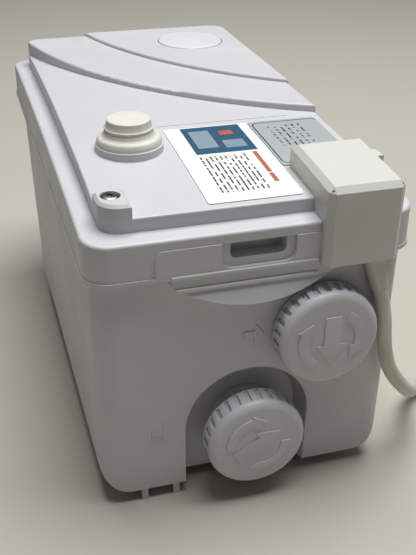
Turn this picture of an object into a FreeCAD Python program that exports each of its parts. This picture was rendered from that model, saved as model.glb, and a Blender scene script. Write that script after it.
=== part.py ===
import FreeCAD, Part
import math
import os
from FreeCAD import Vector

os.makedirs("parts", exist_ok=True)

# Small grey water lifting pump. Millimetres, X right along the front end,
# Y to the back, Z up. The floor is Z = 0. Lengths are measured from the middle
# of the tank's collar, and each piece is saved from the middle of the whole pump.

# Driving dimensions: tank
half_length = 186.0
half_width = 100.0
collar_corner = 16.0
wall = 3.0
foot_height = 9.0
collar_low = 166.0
collar_height = 25.3
ledge_end = collar_low + collar_height
ledge_rise = 5.0
rim_rounding = 2.0
collar_side = 3.0
collar_overhang = 4.0
collar_grip = 18.0
back_slant = 64.0
body_half_width = half_width - collar_side
body_front = -half_length + collar_overhang
body_back_top = half_length - collar_grip
body_back_floor = body_back_top - back_slant
body_corner = 14.0
side_rounding = 22.0
front_draft = 2.0
ledge_side = 18.0
ledge_front = 20.0
ledge_back = 24.0
opening_half_width = half_width - ledge_side
opening_front = -half_length + ledge_front
opening_back = half_length - ledge_back
opening_corner = 8.0
lip_bead = 0.9
lip_height = 2.4
overflow_place = (53.0, collar_low - 13.0)
overflow_radius = 2.5

# Driving dimensions: hood, handle pocket and front panel of the tank
hood_radius = 90.0
hood_centre_x = -1.0
hood_drop = 20.6
hood_flat = 8.4
hood_left = -52.0
hood_right = 50.0
hood_reach = 5.0
hood_top_reach = 0.6
hood_rib_reach = 2.0
hood_rib_height = 2.2
hood_rib_rounding = 0.8
hood_low = collar_low - hood_drop
hood_bend = collar_low - hood_flat
hood_front = -half_length - hood_reach
hood_top_front = -half_length - hood_top_reach
handle_half = 22.5
handle_up = 3.0
handle_height = 16.0
handle_low = collar_low + handle_up
handle_top = handle_low + handle_height
handle_step = 1.4
pocket_half = 17.0
pocket_up = 5.0
pocket_low = handle_low + pocket_up
pocket_depth = 11.0
panel_half = 61.0
panel_raise = 0.8
panel_corner = 5.0

# Driving dimensions: feet and the two prongs under the front edge
foot_radius = 9.0
foot_stud = 3.0
foot_stud_length = 4.0
foot_boss = 7.0
foot_side = 38.0
foot_front = 36.0
foot_back = 26.0
foot_x = half_width - foot_side
foot_rows = (-half_length + foot_front, body_back_floor - foot_back)
foot_places = [(side * foot_x, row) for row in foot_rows for side in (-1.0, 1.0)]
prong_places = (-69.0, -48.0)
prong_width = 4.0
prong_thickness = 2.8
prong_back = 2.4
prong_front = body_front + prong_back

# Driving dimensions: lid
lid_side = 12.0
lid_before = 13.0
lid_behind = 11.0
lid_half_width = half_width - lid_side
lid_front = -half_length + lid_before
lid_back = half_length - lid_behind
lid_corner = 12.0
lid_wall = 3.0
lid_flange = 4.4
lid_height = 8.2
lid_end = ledge_end + lid_height
lid_rise = 8.1
lid_rounding = 1.2
step_two_height = 12.5
step_three_height = 2.8
step_two = lid_end + step_two_height
step_three = step_two + step_three_height
step_radius = 303.0
step_two_centre = (210.0, half_length + 40.0)
step_three_centre = (256.0, half_length + 68.0)
step_rounding = 1.8
gasket_inset = 2.4
gasket_width = 2.0
gasket_height = 2.0
lid_line = (-28.0, 66.0, lid_front + 120.0)
lid_line_width = 0.6
lid_line_depth = 0.4
hook_places = (-50.0, 50.0)
hook_half = 8.0
hook_thickness = 3.0
hook_drop = 5.0

# Driving dimensions: lid screws, the tower round the left one and the posts under them
left_screw_from_side = 8.8
left_screw_from_front = 15.0
right_screw_from_side = 11.0
right_screw_from_front = 29.0
left_screw = (-lid_half_width + left_screw_from_side, lid_front + left_screw_from_front)
right_screw = (lid_half_width - right_screw_from_side, lid_front + right_screw_from_front)
screw_shank = 2.4
screw_head = 5.4
screw_head_height = 2.6
screw_length = 26.0
screw_sink = 2.2
corner_reach = 13.0
tower_width = 18.0
tower_length = 23.0
tower_height = 9.5
tower_top = lid_end + tower_height
tower_chamfer = 1.8
tank_post_radius = 6.5
tank_post_up = 2.0
tank_post_low = collar_low + tank_post_up
gusset_height = 8.3
gusset_low = ledge_end - gusset_height

# Driving dimensions: inlets and their caps
neck_outer = 23.9
neck_bore = 20.0
upper_inlet = (44.0, 117.0)
lower_inlet = (0.5, 46.0)
cap_radius = 32.0
neck_reach = 13.0
cap_front = -half_length - neck_reach
cap_depth = 16.0
cap_face = 3.2
cap_rounding = 5.0
cap_ribs = 28
cap_rib_gap = 3.5
cap_rib_depth = 1.7
cap_thread_gap = 0.1
washer_thickness = 1.2
mark_height = 0.5
mark_inner = 16.5
mark_outer = 20.5
recess_radius = 41.5
recess_centre = (-1.0, 52.0)
recess_depth = 15.0
recess_back = body_front + recess_depth
recess_taper = 4.5
neck_front = cap_front + cap_face + washer_thickness

# Driving dimensions: rubber flaps that hang on a pin inside each inlet
flap_radius = 22.0
flap_thickness = 2.4
flap_ear = 8.0
flap_ear_width = 3.0
flap_pin_radius = 1.25
flap_pin_up = 25.5
flap_pin_ahead = 3.2

# Driving dimensions: boot, vent and their seats
boot_place = (-52.3, lid_front + 89.6)
boot_collar_radius = 21.7
boot_collar_drop = 3.5
boot_collar_height = 9.7
boot_collar_low = lid_end - boot_collar_drop
boot_collar_top = lid_end + boot_collar_height
boot_foot_radius = 21.5
boot_neck_radius = 15.5
boot_top_radius = 13.3
boot_height = 16.8
boot_top = boot_collar_top + boot_height
boot_wall = 2.2
boot_spigot = 9.0
outlet_bore = 15.0
vent_place = (46.0, lid_back - 48.0)
vent_radius = 27.0
vent_gap = 0.6
vent_proud = 0.9
vent_recess = 3.0
vent_bore = 21.0
vent_depth = 21.8
vent_floor = step_three - vent_depth
vent_spigot = 9.0

# Driving dimensions: control box on the lid's front corner
box_width = 47.5
box_from_side = 15.0
box_overhang = 8.5
box_on_lid = 40.5
box_drop = 1.1
box_height = 14.9
box_right = half_width - box_from_side
box_left = box_right - box_width
box_front = -half_length - box_overhang
box_back = lid_front + box_on_lid
box_low = collar_low - box_drop
box_top_front = lid_end + box_height
box_top_rise = 4.6
box_chamfer = 3.5
box_wall = 2.0
latch_width = 11.0
latch_from_back = 8.5
latch_height = 8.0
latch_from_top = 1.4
latch_span = (box_back - latch_from_back - latch_width, box_back - latch_from_back)
latch_heights = (box_top_front - latch_from_top - latch_height, box_top_front - latch_from_top)
latch_reach = 6.0
base_inset = 7.0
base_front = lid_front + base_inset
base_thickness = 2.9
box_lead = (box_left + 22.5, lid_front + 15.0)
box_lead_half = 8.0
box_screw_places = [(box_left + 7.0, box_back - 7.5), (box_left + 7.0, box_back - 28.5)]
box_screw_radius = 1.25
box_screw_length = 6.0
terminal_length = 18.0
terminal_depth = 11.0
terminal_from_back = 4.5
terminal_span = (box_left + 11.5, box_left + 11.5 + terminal_length)
terminal_back = box_back - terminal_from_back
terminal_front = terminal_back - terminal_depth
terminal_height = 8.0
capacitor_radius = 6.0
capacitor_length = 24.0

# Driving dimensions: stickers on the lid
label_from_step = 16.0
label_back = step_two_centre[1] - step_radius + label_from_step
white_label_box = (-25.0, 33.0, lid_front + 5.0, label_back)
grey_label_box = (33.6, lid_half_width - 6.0, lid_front + 42.0, label_back)
label_thickness = 0.3
label_corner = 2.0

# Driving dimensions: motor and pump
motor_place = (-16.0, 20.0)
motor_radius = 46.0
motor_height = 106.0
motor_top = collar_low + 2.0
motor_low = motor_top - motor_height
motor_floor = 22.0
motor_roof = 4.0
can_wall = 2.5
ear_reach = 6.0
ear_circle = motor_radius + ear_reach
ear_angles = (100.0, 220.0, 340.0)
ear_radius = 7.0
ear_thickness = 4.0
pillar_radius = 6.5
pillar_screw = 1.9
pillar_screw_length = 16.0
lead_radius = 2.6
lead_exit = (motor_place[0] + 26.0, motor_place[1])
shaft_radius = 5.0
seal_span = (motor_low + 2.0, motor_low + 9.5)
bearing_outer = 13.0
lower_bearing = (motor_low + 10.0, motor_low + 19.0)
upper_bearing = (motor_top - 18.0, motor_top - 10.0)
stator_span = (motor_low + 30.0, motor_low + 78.0)
winding_height = 7.0
rotor_radius = 22.0
air_gap = 0.6
volute_height = 32.0
volute_low = motor_low - volute_height
volute_wall = 3.0
impeller_radius = 31.0
impeller_hub = 9.0
impeller_vanes = 5
strainer_radius = 34.0
strainer_height = 16.0
strainer_slots = 12

# Driving dimensions: discharge pipe and check valve under the boot
riser_bore = 10.0
riser_wall = 2.5
riser_level = volute_low + 14.5
spout_front = -34.0
valve_low = 112.0
valve_top = 150.0
valve_radius = 19.0
valve_wall = 3.0
check_radius = 11.2
check_pin_back = 12.5
check_pin_up = 7.5
check_pin_radius = 1.0
check_ear = 5.5

# Driving dimensions: level switch
switch_place = (50.0, -62.0)
tube_low = 18.0
switch_drop = 15.5
switch_height = 22.0
switch_roof = lid_end - switch_drop
tube_top = switch_roof - switch_height
tube_radius = 13.0
tube_wall = 2.0
switch_radius = 20.0
diaphragm_thickness = 1.2
plunger_radius = 4.0
plunger_travel = 1.5

# Driving dimensions: cord, its coil and the plug
cord_radius = 4.8
cord_exit = (box_right - 12.8, -half_length - 1.4)
notch_half = 9.0
gland_radius = 6.4
gland_half_depth = 4.9
cord_route = [
    (78.0, -187.4, 143.6), (84.1, -187.4, 124.5), (84.2, -191.8, 100.3), (91.1, -191.1, 79.5),
    (111.0, -185.1, 54.4), (129.2, -162.7, 37.3), (141.0, -136.4, 20.2), (163.3, -122.8, 5.2),
]
cord_lead_in = 30.0
coil_centre = (262.0, -150.0)
coil_inner = 48.0
coil_pitch = 10.3
coil_rise = 10.2
coil_quarters = 10
coil_start_angle = 98.0
plug_radius = 18.5
plug_length = 36.0
plug_boot = 30.0
plug_pin_radius = 2.4
plug_pin_length = 18.0
plug_pin_root = 1.9
plug_pin_step = 0.5
plug_pin_spread = 9.5

# Clearances, and a length beyond the whole pump for cuts that go right through
fit = 0.05
seat_gap = 0.3
far = 400.0

# Middle of the whole pump along its length, from the caps to the collar's bead
middle_y = 0.5 * (cap_front - mark_height + half_length + lip_bead)


# Height of a crowned surface, an arc over the length of the tank
def crown_radius(rise):
    return (half_length ** 2 + rise ** 2) / (2.0 * rise)


def crown(y, end, rise):
    radius = crown_radius(rise)
    return end + rise - radius + math.sqrt(radius ** 2 - y ** 2)


# Closed outline of a rectangle with rounded corners, seen from above
def outline(x0, x1, y0, y1, corner, z=0.0):
    c = corner * (1.0 - math.sqrt(0.5))
    points = [
        (x0, y0 + corner), (x0 + c, y0 + c), (x0 + corner, y0),
        (x1 - corner, y0), (x1 - c, y0 + c), (x1, y0 + corner),
        (x1, y1 - corner), (x1 - c, y1 - c), (x1 - corner, y1),
        (x0 + corner, y1), (x0 + c, y1 - c), (x0, y1 - corner),
    ]
    p = [Vector(x, y, z) for x, y in points]
    edges = []
    for i in range(0, 12, 3):
        edges.append(Part.Arc(p[i], p[i + 1], p[i + 2]).toShape())
        edges.append(Part.LineSegment(p[i + 2], p[(i + 3) % 12]).toShape())
    return Part.Wire(edges)


# A face seen from the side, closed below and above by lines or crown arcs
def side_face(low, high):
    reach = half_length + 12.0

    def level(bound, y):
        if isinstance(bound, tuple):
            return crown(y, bound[0], bound[1])
        return bound

    def line(bound, y0, y1):
        a = Vector(0, y0, level(bound, y0))
        b = Vector(0, y1, level(bound, y1))
        if isinstance(bound, tuple):
            return Part.Arc(a, Vector(0, 0, level(bound, 0.0)), b).toShape()
        return Part.LineSegment(a, b).toShape()

    bottom = line(low, -reach, reach)
    top = line(high, reach, -reach)
    back = Part.LineSegment(Vector(0, reach, level(low, reach)), Vector(0, reach, level(high, reach)))
    front = Part.LineSegment(Vector(0, -reach, level(high, -reach)), Vector(0, -reach, level(low, -reach)))
    return Part.Face(Part.Wire([bottom, back.toShape(), top, front.toShape()]))


# A layer of the housing: an outline between two levels, flat or crowned
def layer(wire, low, high):
    span = Part.Face(wire).extrude(Vector(0, 0, far))
    side = side_face(low, high)
    side.translate(Vector(-far, 0, 0))
    return span.common(side.extrude(Vector(2.0 * far, 0, 0)))


def block(x0, x1, y0, y1, z0, z1):
    return Part.makeBox(x1 - x0, y1 - y0, z1 - z0, Vector(x0, y0, z0))


def rod(place, z0, z1, radius):
    return Part.makeCylinder(radius, z1 - z0, Vector(place[0], place[1], z0))


def tube(place, z0, z1, outer, bore):
    return rod(place, z0, z1, outer).cut(rod(place, z0 - 1.0, z1 + 1.0, bore))


def rod_y(place, y0, y1, radius):
    return Part.makeCylinder(radius, y1 - y0, Vector(place[0], y0, place[1]), Vector(0, 1, 0))


def tube_y(place, y0, y1, outer, bore):
    return rod_y(place, y0, y1, outer).cut(rod_y(place, y0 - 1.0, y1 + 1.0, bore))


def rod_x(y, z, x0, x1, radius):
    return Part.makeCylinder(radius, x1 - x0, Vector(x0, y, z), Vector(1, 0, 0))


def joined(shapes):
    return shapes[0].multiFuse(shapes[1:]).removeSplitter()


def without(shape, cuts):
    return shape.cut(Part.makeCompound(cuts))


def save(name, shape):
    shape.translate(Vector(0, -middle_y, 0))
    shape.exportStep("parts/" + name + ".step")
    print(name, len(shape.Solids), round(shape.Volume / 1000.0, 2), shape.isValid())


# Side of the tank seen from the front, with its two lower edges rounded
def front_profile(half, low, rounding):
    c = rounding * (1.0 - math.sqrt(0.5))
    top = far
    left_start = Vector(-half, 0, low + rounding)
    left_stop = Vector(-half + rounding, 0, low)
    right_start = Vector(half - rounding, 0, low)
    right_stop = Vector(half, 0, low + rounding)
    a = Part.Arc(left_start, Vector(-half + c, 0, low + c), left_stop)
    b = Part.Arc(right_start, Vector(half - c, 0, low + c), right_stop)
    edges = [
        a.toShape(),
        Part.LineSegment(left_stop, right_start).toShape(),
        b.toShape(),
        Part.LineSegment(right_stop, Vector(half, 0, top)).toShape(),
        Part.LineSegment(Vector(half, 0, top), Vector(-half, 0, top)).toShape(),
        Part.LineSegment(Vector(-half, 0, top), left_start).toShape(),
    ]
    face = Part.Face(Part.Wire(edges))
    face.translate(Vector(0, -far, 0))
    return face.extrude(Vector(0, 2.0 * far, 0))


# Body of the tank, drafted at the front and slanted at the back
def tank_body(inset):
    low = foot_height + inset
    half = body_half_width - inset
    corner = body_corner - inset
    top = outline(-half, half, body_front + inset, body_back_top - inset, corner, collar_low)
    floor_front = body_front + front_draft + inset
    floor = outline(-half, half, floor_front, body_back_floor - inset, corner, low)
    hull = Part.makeLoft([floor, top], True, True)
    return hull.common(front_profile(half, low, side_rounding - inset))


# Arched recess round the lower inlet, wide at the front wall
def arch(radius, y):
    x, z = recess_centre
    low = -20.0
    arc = Part.Arc(Vector(x - radius, y, z), Vector(x, y, z + radius), Vector(x + radius, y, z))
    edges = [
        arc.toShape(),
        Part.LineSegment(Vector(x + radius, y, z), Vector(x + radius, y, low)).toShape(),
        Part.LineSegment(Vector(x + radius, y, low), Vector(x - radius, y, low)).toShape(),
        Part.LineSegment(Vector(x - radius, y, low), Vector(x - radius, y, z)).toShape(),
    ]
    return Part.Wire(edges)


def recess(extra):
    depth = recess_back - body_front + extra
    slope = recess_taper / (recess_back - body_front)
    ahead = 10.0
    front = arch(recess_radius + extra + slope * ahead, body_front - ahead)
    back = arch(recess_radius + extra - slope * depth, body_front + depth)
    return Part.makeLoft([front, back], True, True)


# Rib along the hood, with a rounding on its upper front edge
def hood_rib(low, height):
    front = -half_length - hood_rib_reach
    rib = block(hood_left, box_left - 0.5, front, body_front, low, low + height)
    edge = [e for e in rib.Edges if e.BoundBox.ZMin > low + height - 0.1 and e.BoundBox.YMax < front + 0.1]
    return rib.makeFillet(hood_rib_rounding, edge)


# Crescent hood under the handle: upright above its rib, sloped outwards below it
def hood():
    disc = rod_y((hood_centre_x, hood_low + hood_radius), hood_front, body_front + 1.0, hood_radius)
    band = block(hood_left, hood_right, hood_front, body_front + 1.0, hood_low - 1.0, collar_low)
    crescent = disc.common(band)
    slope = [
        Vector(0, hood_front - 1.0, hood_low - 0.5), Vector(0, hood_front - 1.0, collar_low + 1.0),
        Vector(0, hood_top_front, collar_low + 1.0), Vector(0, hood_top_front, hood_bend),
        Vector(0, hood_front, hood_low - 0.5), Vector(0, hood_front - 1.0, hood_low - 0.5),
    ]
    wedge = Part.Face(Part.makePolygon(slope))
    wedge.translate(Vector(-120.0, 0, 0))
    solid = crescent.cut(wedge.extrude(Vector(240.0, 0, 0)))
    return solid.fuse(crescent.common(hood_rib(hood_bend, hood_rib_height)))


# Handle pocket in the front of the collar, with a shallow step round it
def rounded_slot(half, low, top, corner, y0, y1):
    upper = block(-half, half, y0, y1, low + corner, top)
    middle = block(-half + corner, half - corner, y0, y1, low, top)
    corners = [rod_y((s * (half - corner), low + corner), y0, y1, corner) for s in (-1, 1)]
    return joined([upper, middle] + corners)


def handle_cut():
    front = -half_length - 2.0
    step = rounded_slot(handle_half, handle_low, handle_top, 7.0, front, -half_length + handle_step)
    pocket = rounded_slot(pocket_half, pocket_low, handle_top - 1.0, 4.0, front, -half_length + pocket_depth)
    return step.fuse(pocket)


# Round the top outer edge of a crowned or flat layer
def softened(solid, low_limit, radius):
    chosen = []
    for edge in solid.Edges:
        if edge.BoundBox.ZMin > low_limit:
            chosen.append(edge)
    return solid.makeFillet(radius, chosen)


# Seats of the two inlet flaps, on the inner side of the front wall
inlets = {"upper": upper_inlet, "lower": lower_inlet}
flap_seats = {"upper": body_front + front_draft + wall, "lower": recess_back + wall}


def tank_post(place):
    side = math.copysign(1.0, place[0])
    inner = place[0] - side * 9.0
    outer = side * (body_half_width - 2.0)
    gusset = block(min(inner, outer), max(inner, outer), body_front + 1.0, place[1] + 9.0, gusset_low, far)
    return gusset.fuse(rod(place, tank_post_low, far, tank_post_radius))


# Hinge ears of a flap on the wall behind it, and the hole for the neck
def with_neck_seat(solid, place, seat):
    pin_y = seat + flap_pin_ahead
    pin_z = place[1] + flap_pin_up
    half = 0.5 * flap_ear_width
    for side in (-1, 1):
        ear_x = place[0] + side * flap_ear
        solid = solid.fuse(block(ear_x - half, ear_x + half, seat - wall + 0.5, pin_y + 3.0,
                                 pin_z - 3.0, pin_z + 3.0))
    reach = flap_ear + flap_ear_width
    solid = solid.cut(rod_x(pin_y, pin_z, place[0] - reach, place[0] + reach, flap_pin_radius + fit))
    return solid.cut(rod_y(place, body_front - 3.0, seat, neck_outer + fit))


def inlet_neck(place, seat):
    return tube_y(place, neck_front, seat, neck_outer, neck_bore)


# The tank is one moulding. Its body, its collar and the arched recess are kept
# as pieces that meet face to face, so that each has a simple shape
def tank():
    overflow_y, overflow_z = overflow_place
    overflow = rod_x(overflow_y, overflow_z, -half_width, -half_width + 3.0 * wall, overflow_radius)
    solid = without(joined([tank_body(0.0), hood()]), [tank_body(wall), recess(0.0), overflow])
    solid = with_neck_seat(solid, upper_inlet, flap_seats["upper"])
    for x in prong_places:
        solid = solid.fuse(block(x - 0.5 * prong_width, x + 0.5 * prong_width,
                                 prong_front, prong_front + prong_thickness, 0.0, foot_height + wall))
    for place in foot_places:
        solid = solid.fuse(rod(place, foot_height, foot_height + wall + foot_stud_length, foot_boss))
        stud_top = foot_height + foot_stud_length + seat_gap
        solid = solid.cut(rod(place, foot_height - 1.0, stud_top, foot_stud + fit))
    return joined([solid, inlet_mark(-64.0, 46.0), inlet_mark(-6.0, 110.0)])


def inlet_recess():
    shell = recess(wall).common(tank_body(wall)).cut(recess(0.0))
    return with_neck_seat(shell, lower_inlet, flap_seats["lower"])


def tank_collar():
    ledge = (ledge_end, ledge_rise)
    under = (ledge_end - wall, ledge_rise)
    rim = outline(-half_width, half_width, -half_length, half_length, collar_corner)
    skirt = softened(layer(rim, collar_low, ledge), ledge_end - 0.5, rim_rounding)
    bead_out = outline(-half_width - lip_bead, half_width + lip_bead,
                       -half_length - lip_bead, half_length + lip_bead, collar_corner + lip_bead)
    bead = layer(bead_out, collar_low, collar_low + lip_height)
    panel = block(-panel_half, panel_half, -half_length - panel_raise, -half_length + 1.0,
                  collar_low + lip_height, handle_top)
    ends = [e for e in panel.Edges if e.BoundBox.ZMin > handle_top - 0.1 and e.BoundBox.YLength > 1.0]
    solid = joined([skirt, bead, hood_rib(collar_low, lip_height), panel.makeFillet(panel_corner, ends)])

    inner_top = outline(-body_half_width + wall, body_half_width - wall,
                        body_front + wall, body_back_top - wall, body_corner - wall)
    opening = outline(-opening_half_width, opening_half_width, opening_front, opening_back, opening_corner)
    collar_half = half_width - wall
    collar_inner = outline(-collar_half, collar_half, 0.0, half_length - wall, collar_corner - wall)
    body_top = outline(-body_half_width, body_half_width, body_front, body_back_top, body_corner)
    channel = layer(collar_inner, collar_low - 1.0, under).cut(layer(body_top, 100.0, far))
    keep_half = handle_half + wall
    keep_handle = block(-keep_half, keep_half, body_front, -half_length + pocket_depth + wall,
                        handle_low - wall, ledge_end)
    posts = [tank_post(place) for place in (left_screw, right_screw)]
    hollow = layer(inner_top, collar_low - 1.0, under).cut(joined([keep_handle] + posts))
    opening_hole = layer(opening, 150.0, far).cut(joined(posts))
    solid = without(solid, [hollow, opening_hole, channel])
    round_posts = outline(-lid_half_width, lid_half_width, lid_front - 9.0, right_screw[1] + 24.0, 2.0)
    above = layer(round_posts, ledge, far)
    cuts = [above, handle_cut()]
    for place in (left_screw, right_screw):
        cuts.append(rod(place, tank_post_low + wall, far, screw_shank + fit))
    cuts.append(block(cord_exit[0] - notch_half, cord_exit[0] + notch_half, -half_length - panel_raise - 2.0,
                      body_front - 0.2, collar_low - 1.0, lid_end))
    return without(solid, cuts)


# Rubber disc that hangs inside an inlet, and the pin it swings on
def inlet_flap(place, seat):
    y0 = seat + seat_gap
    disc = rod_y(place, y0, y0 + flap_thickness, flap_radius)
    z = place[1] + flap_pin_up
    pin_y = seat + flap_pin_ahead
    half = flap_ear - 0.5 * flap_ear_width - seat_gap
    arm = block(place[0] - half, place[0] + half, y0, y0 + flap_thickness, place[1] + flap_radius - 4.0, z)
    knuckle = rod_x(pin_y, z, place[0] - half, place[0] + half, 2.1 * flap_pin_radius)
    hole = rod_x(pin_y, z, place[0] - flap_ear, place[0] + flap_ear, flap_pin_radius + fit)
    return joined([disc, arm, knuckle]).cut(hole)


def flap_pin(place, seat):
    reach = flap_ear + 0.5 * flap_ear_width
    z = place[1] + flap_pin_up
    return rod_x(seat + flap_pin_ahead, z, place[0] - reach, place[0] + reach, flap_pin_radius)


# Screw cap of an inlet: grip ribs, a big smooth rounding and a flat marked face
def screw_cap(place, arrow_turn):
    back = cap_front + cap_depth
    x, z = place
    body = Part.makeCylinder(cap_radius, cap_depth, Vector(x, cap_front, z), Vector(0, 1, 0))
    front_edges = [e for e in body.Edges if e.BoundBox.YMax < cap_front + 0.1 and e.Length > 20.0]
    body = body.makeFillet(cap_rounding, front_edges)
    gaps = []
    for i in range(cap_ribs):
        gap = block(x + cap_radius - cap_rib_depth, x + cap_radius + 2.0,
                    cap_front + cap_rounding - 1.4, back + 1.0,
                    z - 0.5 * cap_rib_gap, z + 0.5 * cap_rib_gap)
        gap.rotate(Vector(x, 0, z), Vector(0, 1, 0), 360.0 * i / cap_ribs)
        gaps.append(gap)
    body = without(body, gaps)
    socket = rod_y(place, cap_front + cap_face, back + 1.0, neck_outer + cap_thread_gap)
    body = body.cut(socket)
    marks = cap_marks(place, arrow_turn)
    return joined([body] + marks)


# Raised marks on a cap: a straight block arrow between two curved ones
def cap_marks(place, turn):
    x, z = place
    y = cap_front
    arrow = [(-2.6, 15.0), (2.6, 15.0), (2.6, -3.0), (7.5, -3.0), (0.0, -15.0), (-7.5, -3.0), (-2.6, -3.0)]
    points = [Vector(x + a, y, z + b) for a, b in arrow]
    straight = Part.Face(Part.makePolygon(points + [points[0]]))
    marks = [straight.extrude(Vector(0, -mark_height, 0)).fuse(straight.extrude(Vector(0, 0.5, 0)))]
    middle = 0.5 * (mark_inner + mark_outer)
    for side in (0.0, 180.0):
        ring = tube_y(place, y - mark_height, y + 0.5, mark_outer, mark_inner)
        start = math.radians(side - 48.0)
        stop = math.radians(side + 34.0)
        far = 40.0
        sector = [Vector(x, y - 1.0, z)]
        for a in (start, 0.5 * (start + stop), stop):
            sector.append(Vector(x + far * math.cos(a), y - 1.0, z + far * math.sin(a)))
        wedge = Part.Face(Part.makePolygon(sector + [sector[0]])).extrude(Vector(0, 3.0, 0))
        band = ring.common(wedge)
        tip = start - math.radians(14.0)
        head = []
        for radius, angle in ((mark_inner - 2.5, start), (mark_outer + 2.5, start), (middle, tip)):
            head.append(Vector(x + radius * math.cos(angle), y, z + radius * math.sin(angle)))
        point = Part.Face(Part.makePolygon(head + [head[0]])).extrude(Vector(0, -mark_height, 0))
        marks.append(band.fuse(point))
    whole = []
    for mark in marks:
        mark.rotate(Vector(x, y, z), Vector(0, 1, 0), turn)
        whole.append(mark)
    return whole


def cap_washer(place):
    y1 = cap_front + cap_face + washer_thickness
    return tube_y(place, cap_front + cap_face, y1, neck_outer - 0.2, neck_bore - 2.0)


# Raised arrow mark beside each inlet, pointing into the tank
def inlet_mark(x0, z0):
    shape = [(0.0, 5.5), (7.0, 5.5), (7.0, 0.0), (13.0, 8.0), (7.0, 16.0), (7.0, 10.5), (0.0, 10.5)]
    share = (collar_low - z0 - 8.0) / (collar_low - foot_height)
    y = body_front + front_draft * share + 1.2
    points = [Vector(x0 + a, y, z0 + b) for a, b in shape]
    return Part.Face(Part.makePolygon(points + [points[0]])).extrude(Vector(0, -1.2 - mark_height, 0))


# Tower in the lid's left front corner: upright walls and a chamfered top round the screw
def screw_tower(plan, seat):
    limits = block(-lid_half_width - 1.0, -lid_half_width + tower_width, lid_front - 1.0,
                   lid_front + tower_length, 150.0, far)
    tower = layer(plan, seat, tower_top).common(limits)
    return tower.makeChamfer(tower_chamfer, [e for e in tower.Edges if e.BoundBox.ZMin > tower_top - 0.1])


# Seats of the two lid screws, the left one in the top of the tower
def screw_seats():
    right_top = crown(right_screw[1], lid_end, lid_rise)
    return [(left_screw, tower_top - screw_sink), (right_screw, right_top - screw_sink)]


# Underside of the lid's roof at a place
def lid_roof(place):
    if math.dist(place, step_two_centre) < step_radius - lid_wall:
        return step_two - lid_wall
    return crown(place[1], lid_end, lid_rise) - lid_wall


pillar_places = [
    (motor_place[0] + ear_circle * math.cos(math.radians(a)),
     motor_place[1] + ear_circle * math.sin(math.radians(a)))
    for a in ear_angles
]


# Hook at the lid's back end that slips under the ledge
def lid_hook(x):
    front = opening_back - seat_gap - hook_thickness
    ledge_top = crown(opening_back, ledge_end, ledge_rise)
    low = ledge_top - wall - hook_drop
    left = x - hook_half
    right = x + hook_half
    root = block(left, right, front, opening_back + 1.0, ledge_top + 0.4, ledge_top + lid_flange)
    drop = block(left, right, front, opening_back - seat_gap, low, ledge_top + lid_flange)
    tongue = block(left, right, front, body_back_top - wall - 0.4, low, ledge_top - wall - 0.5)
    return joined([root, drop, tongue])


# Window that lets the leads through the lid and the base plate
def lead_window():
    x, y = box_lead
    half = box_lead_half
    return block(x - half, x + half, y - half, y + half, 180.0, far)


# Part of the lid's corner that stays solid round a screw
def solid_corner(place):
    side = math.copysign(1.0, place[0])
    inner = place[0] - side * corner_reach
    outer = side * (lid_half_width + 1.0)
    return block(min(inner, outer), max(inner, outer), lid_front - 1.0, place[1] + corner_reach, 140.0, far)


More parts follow.
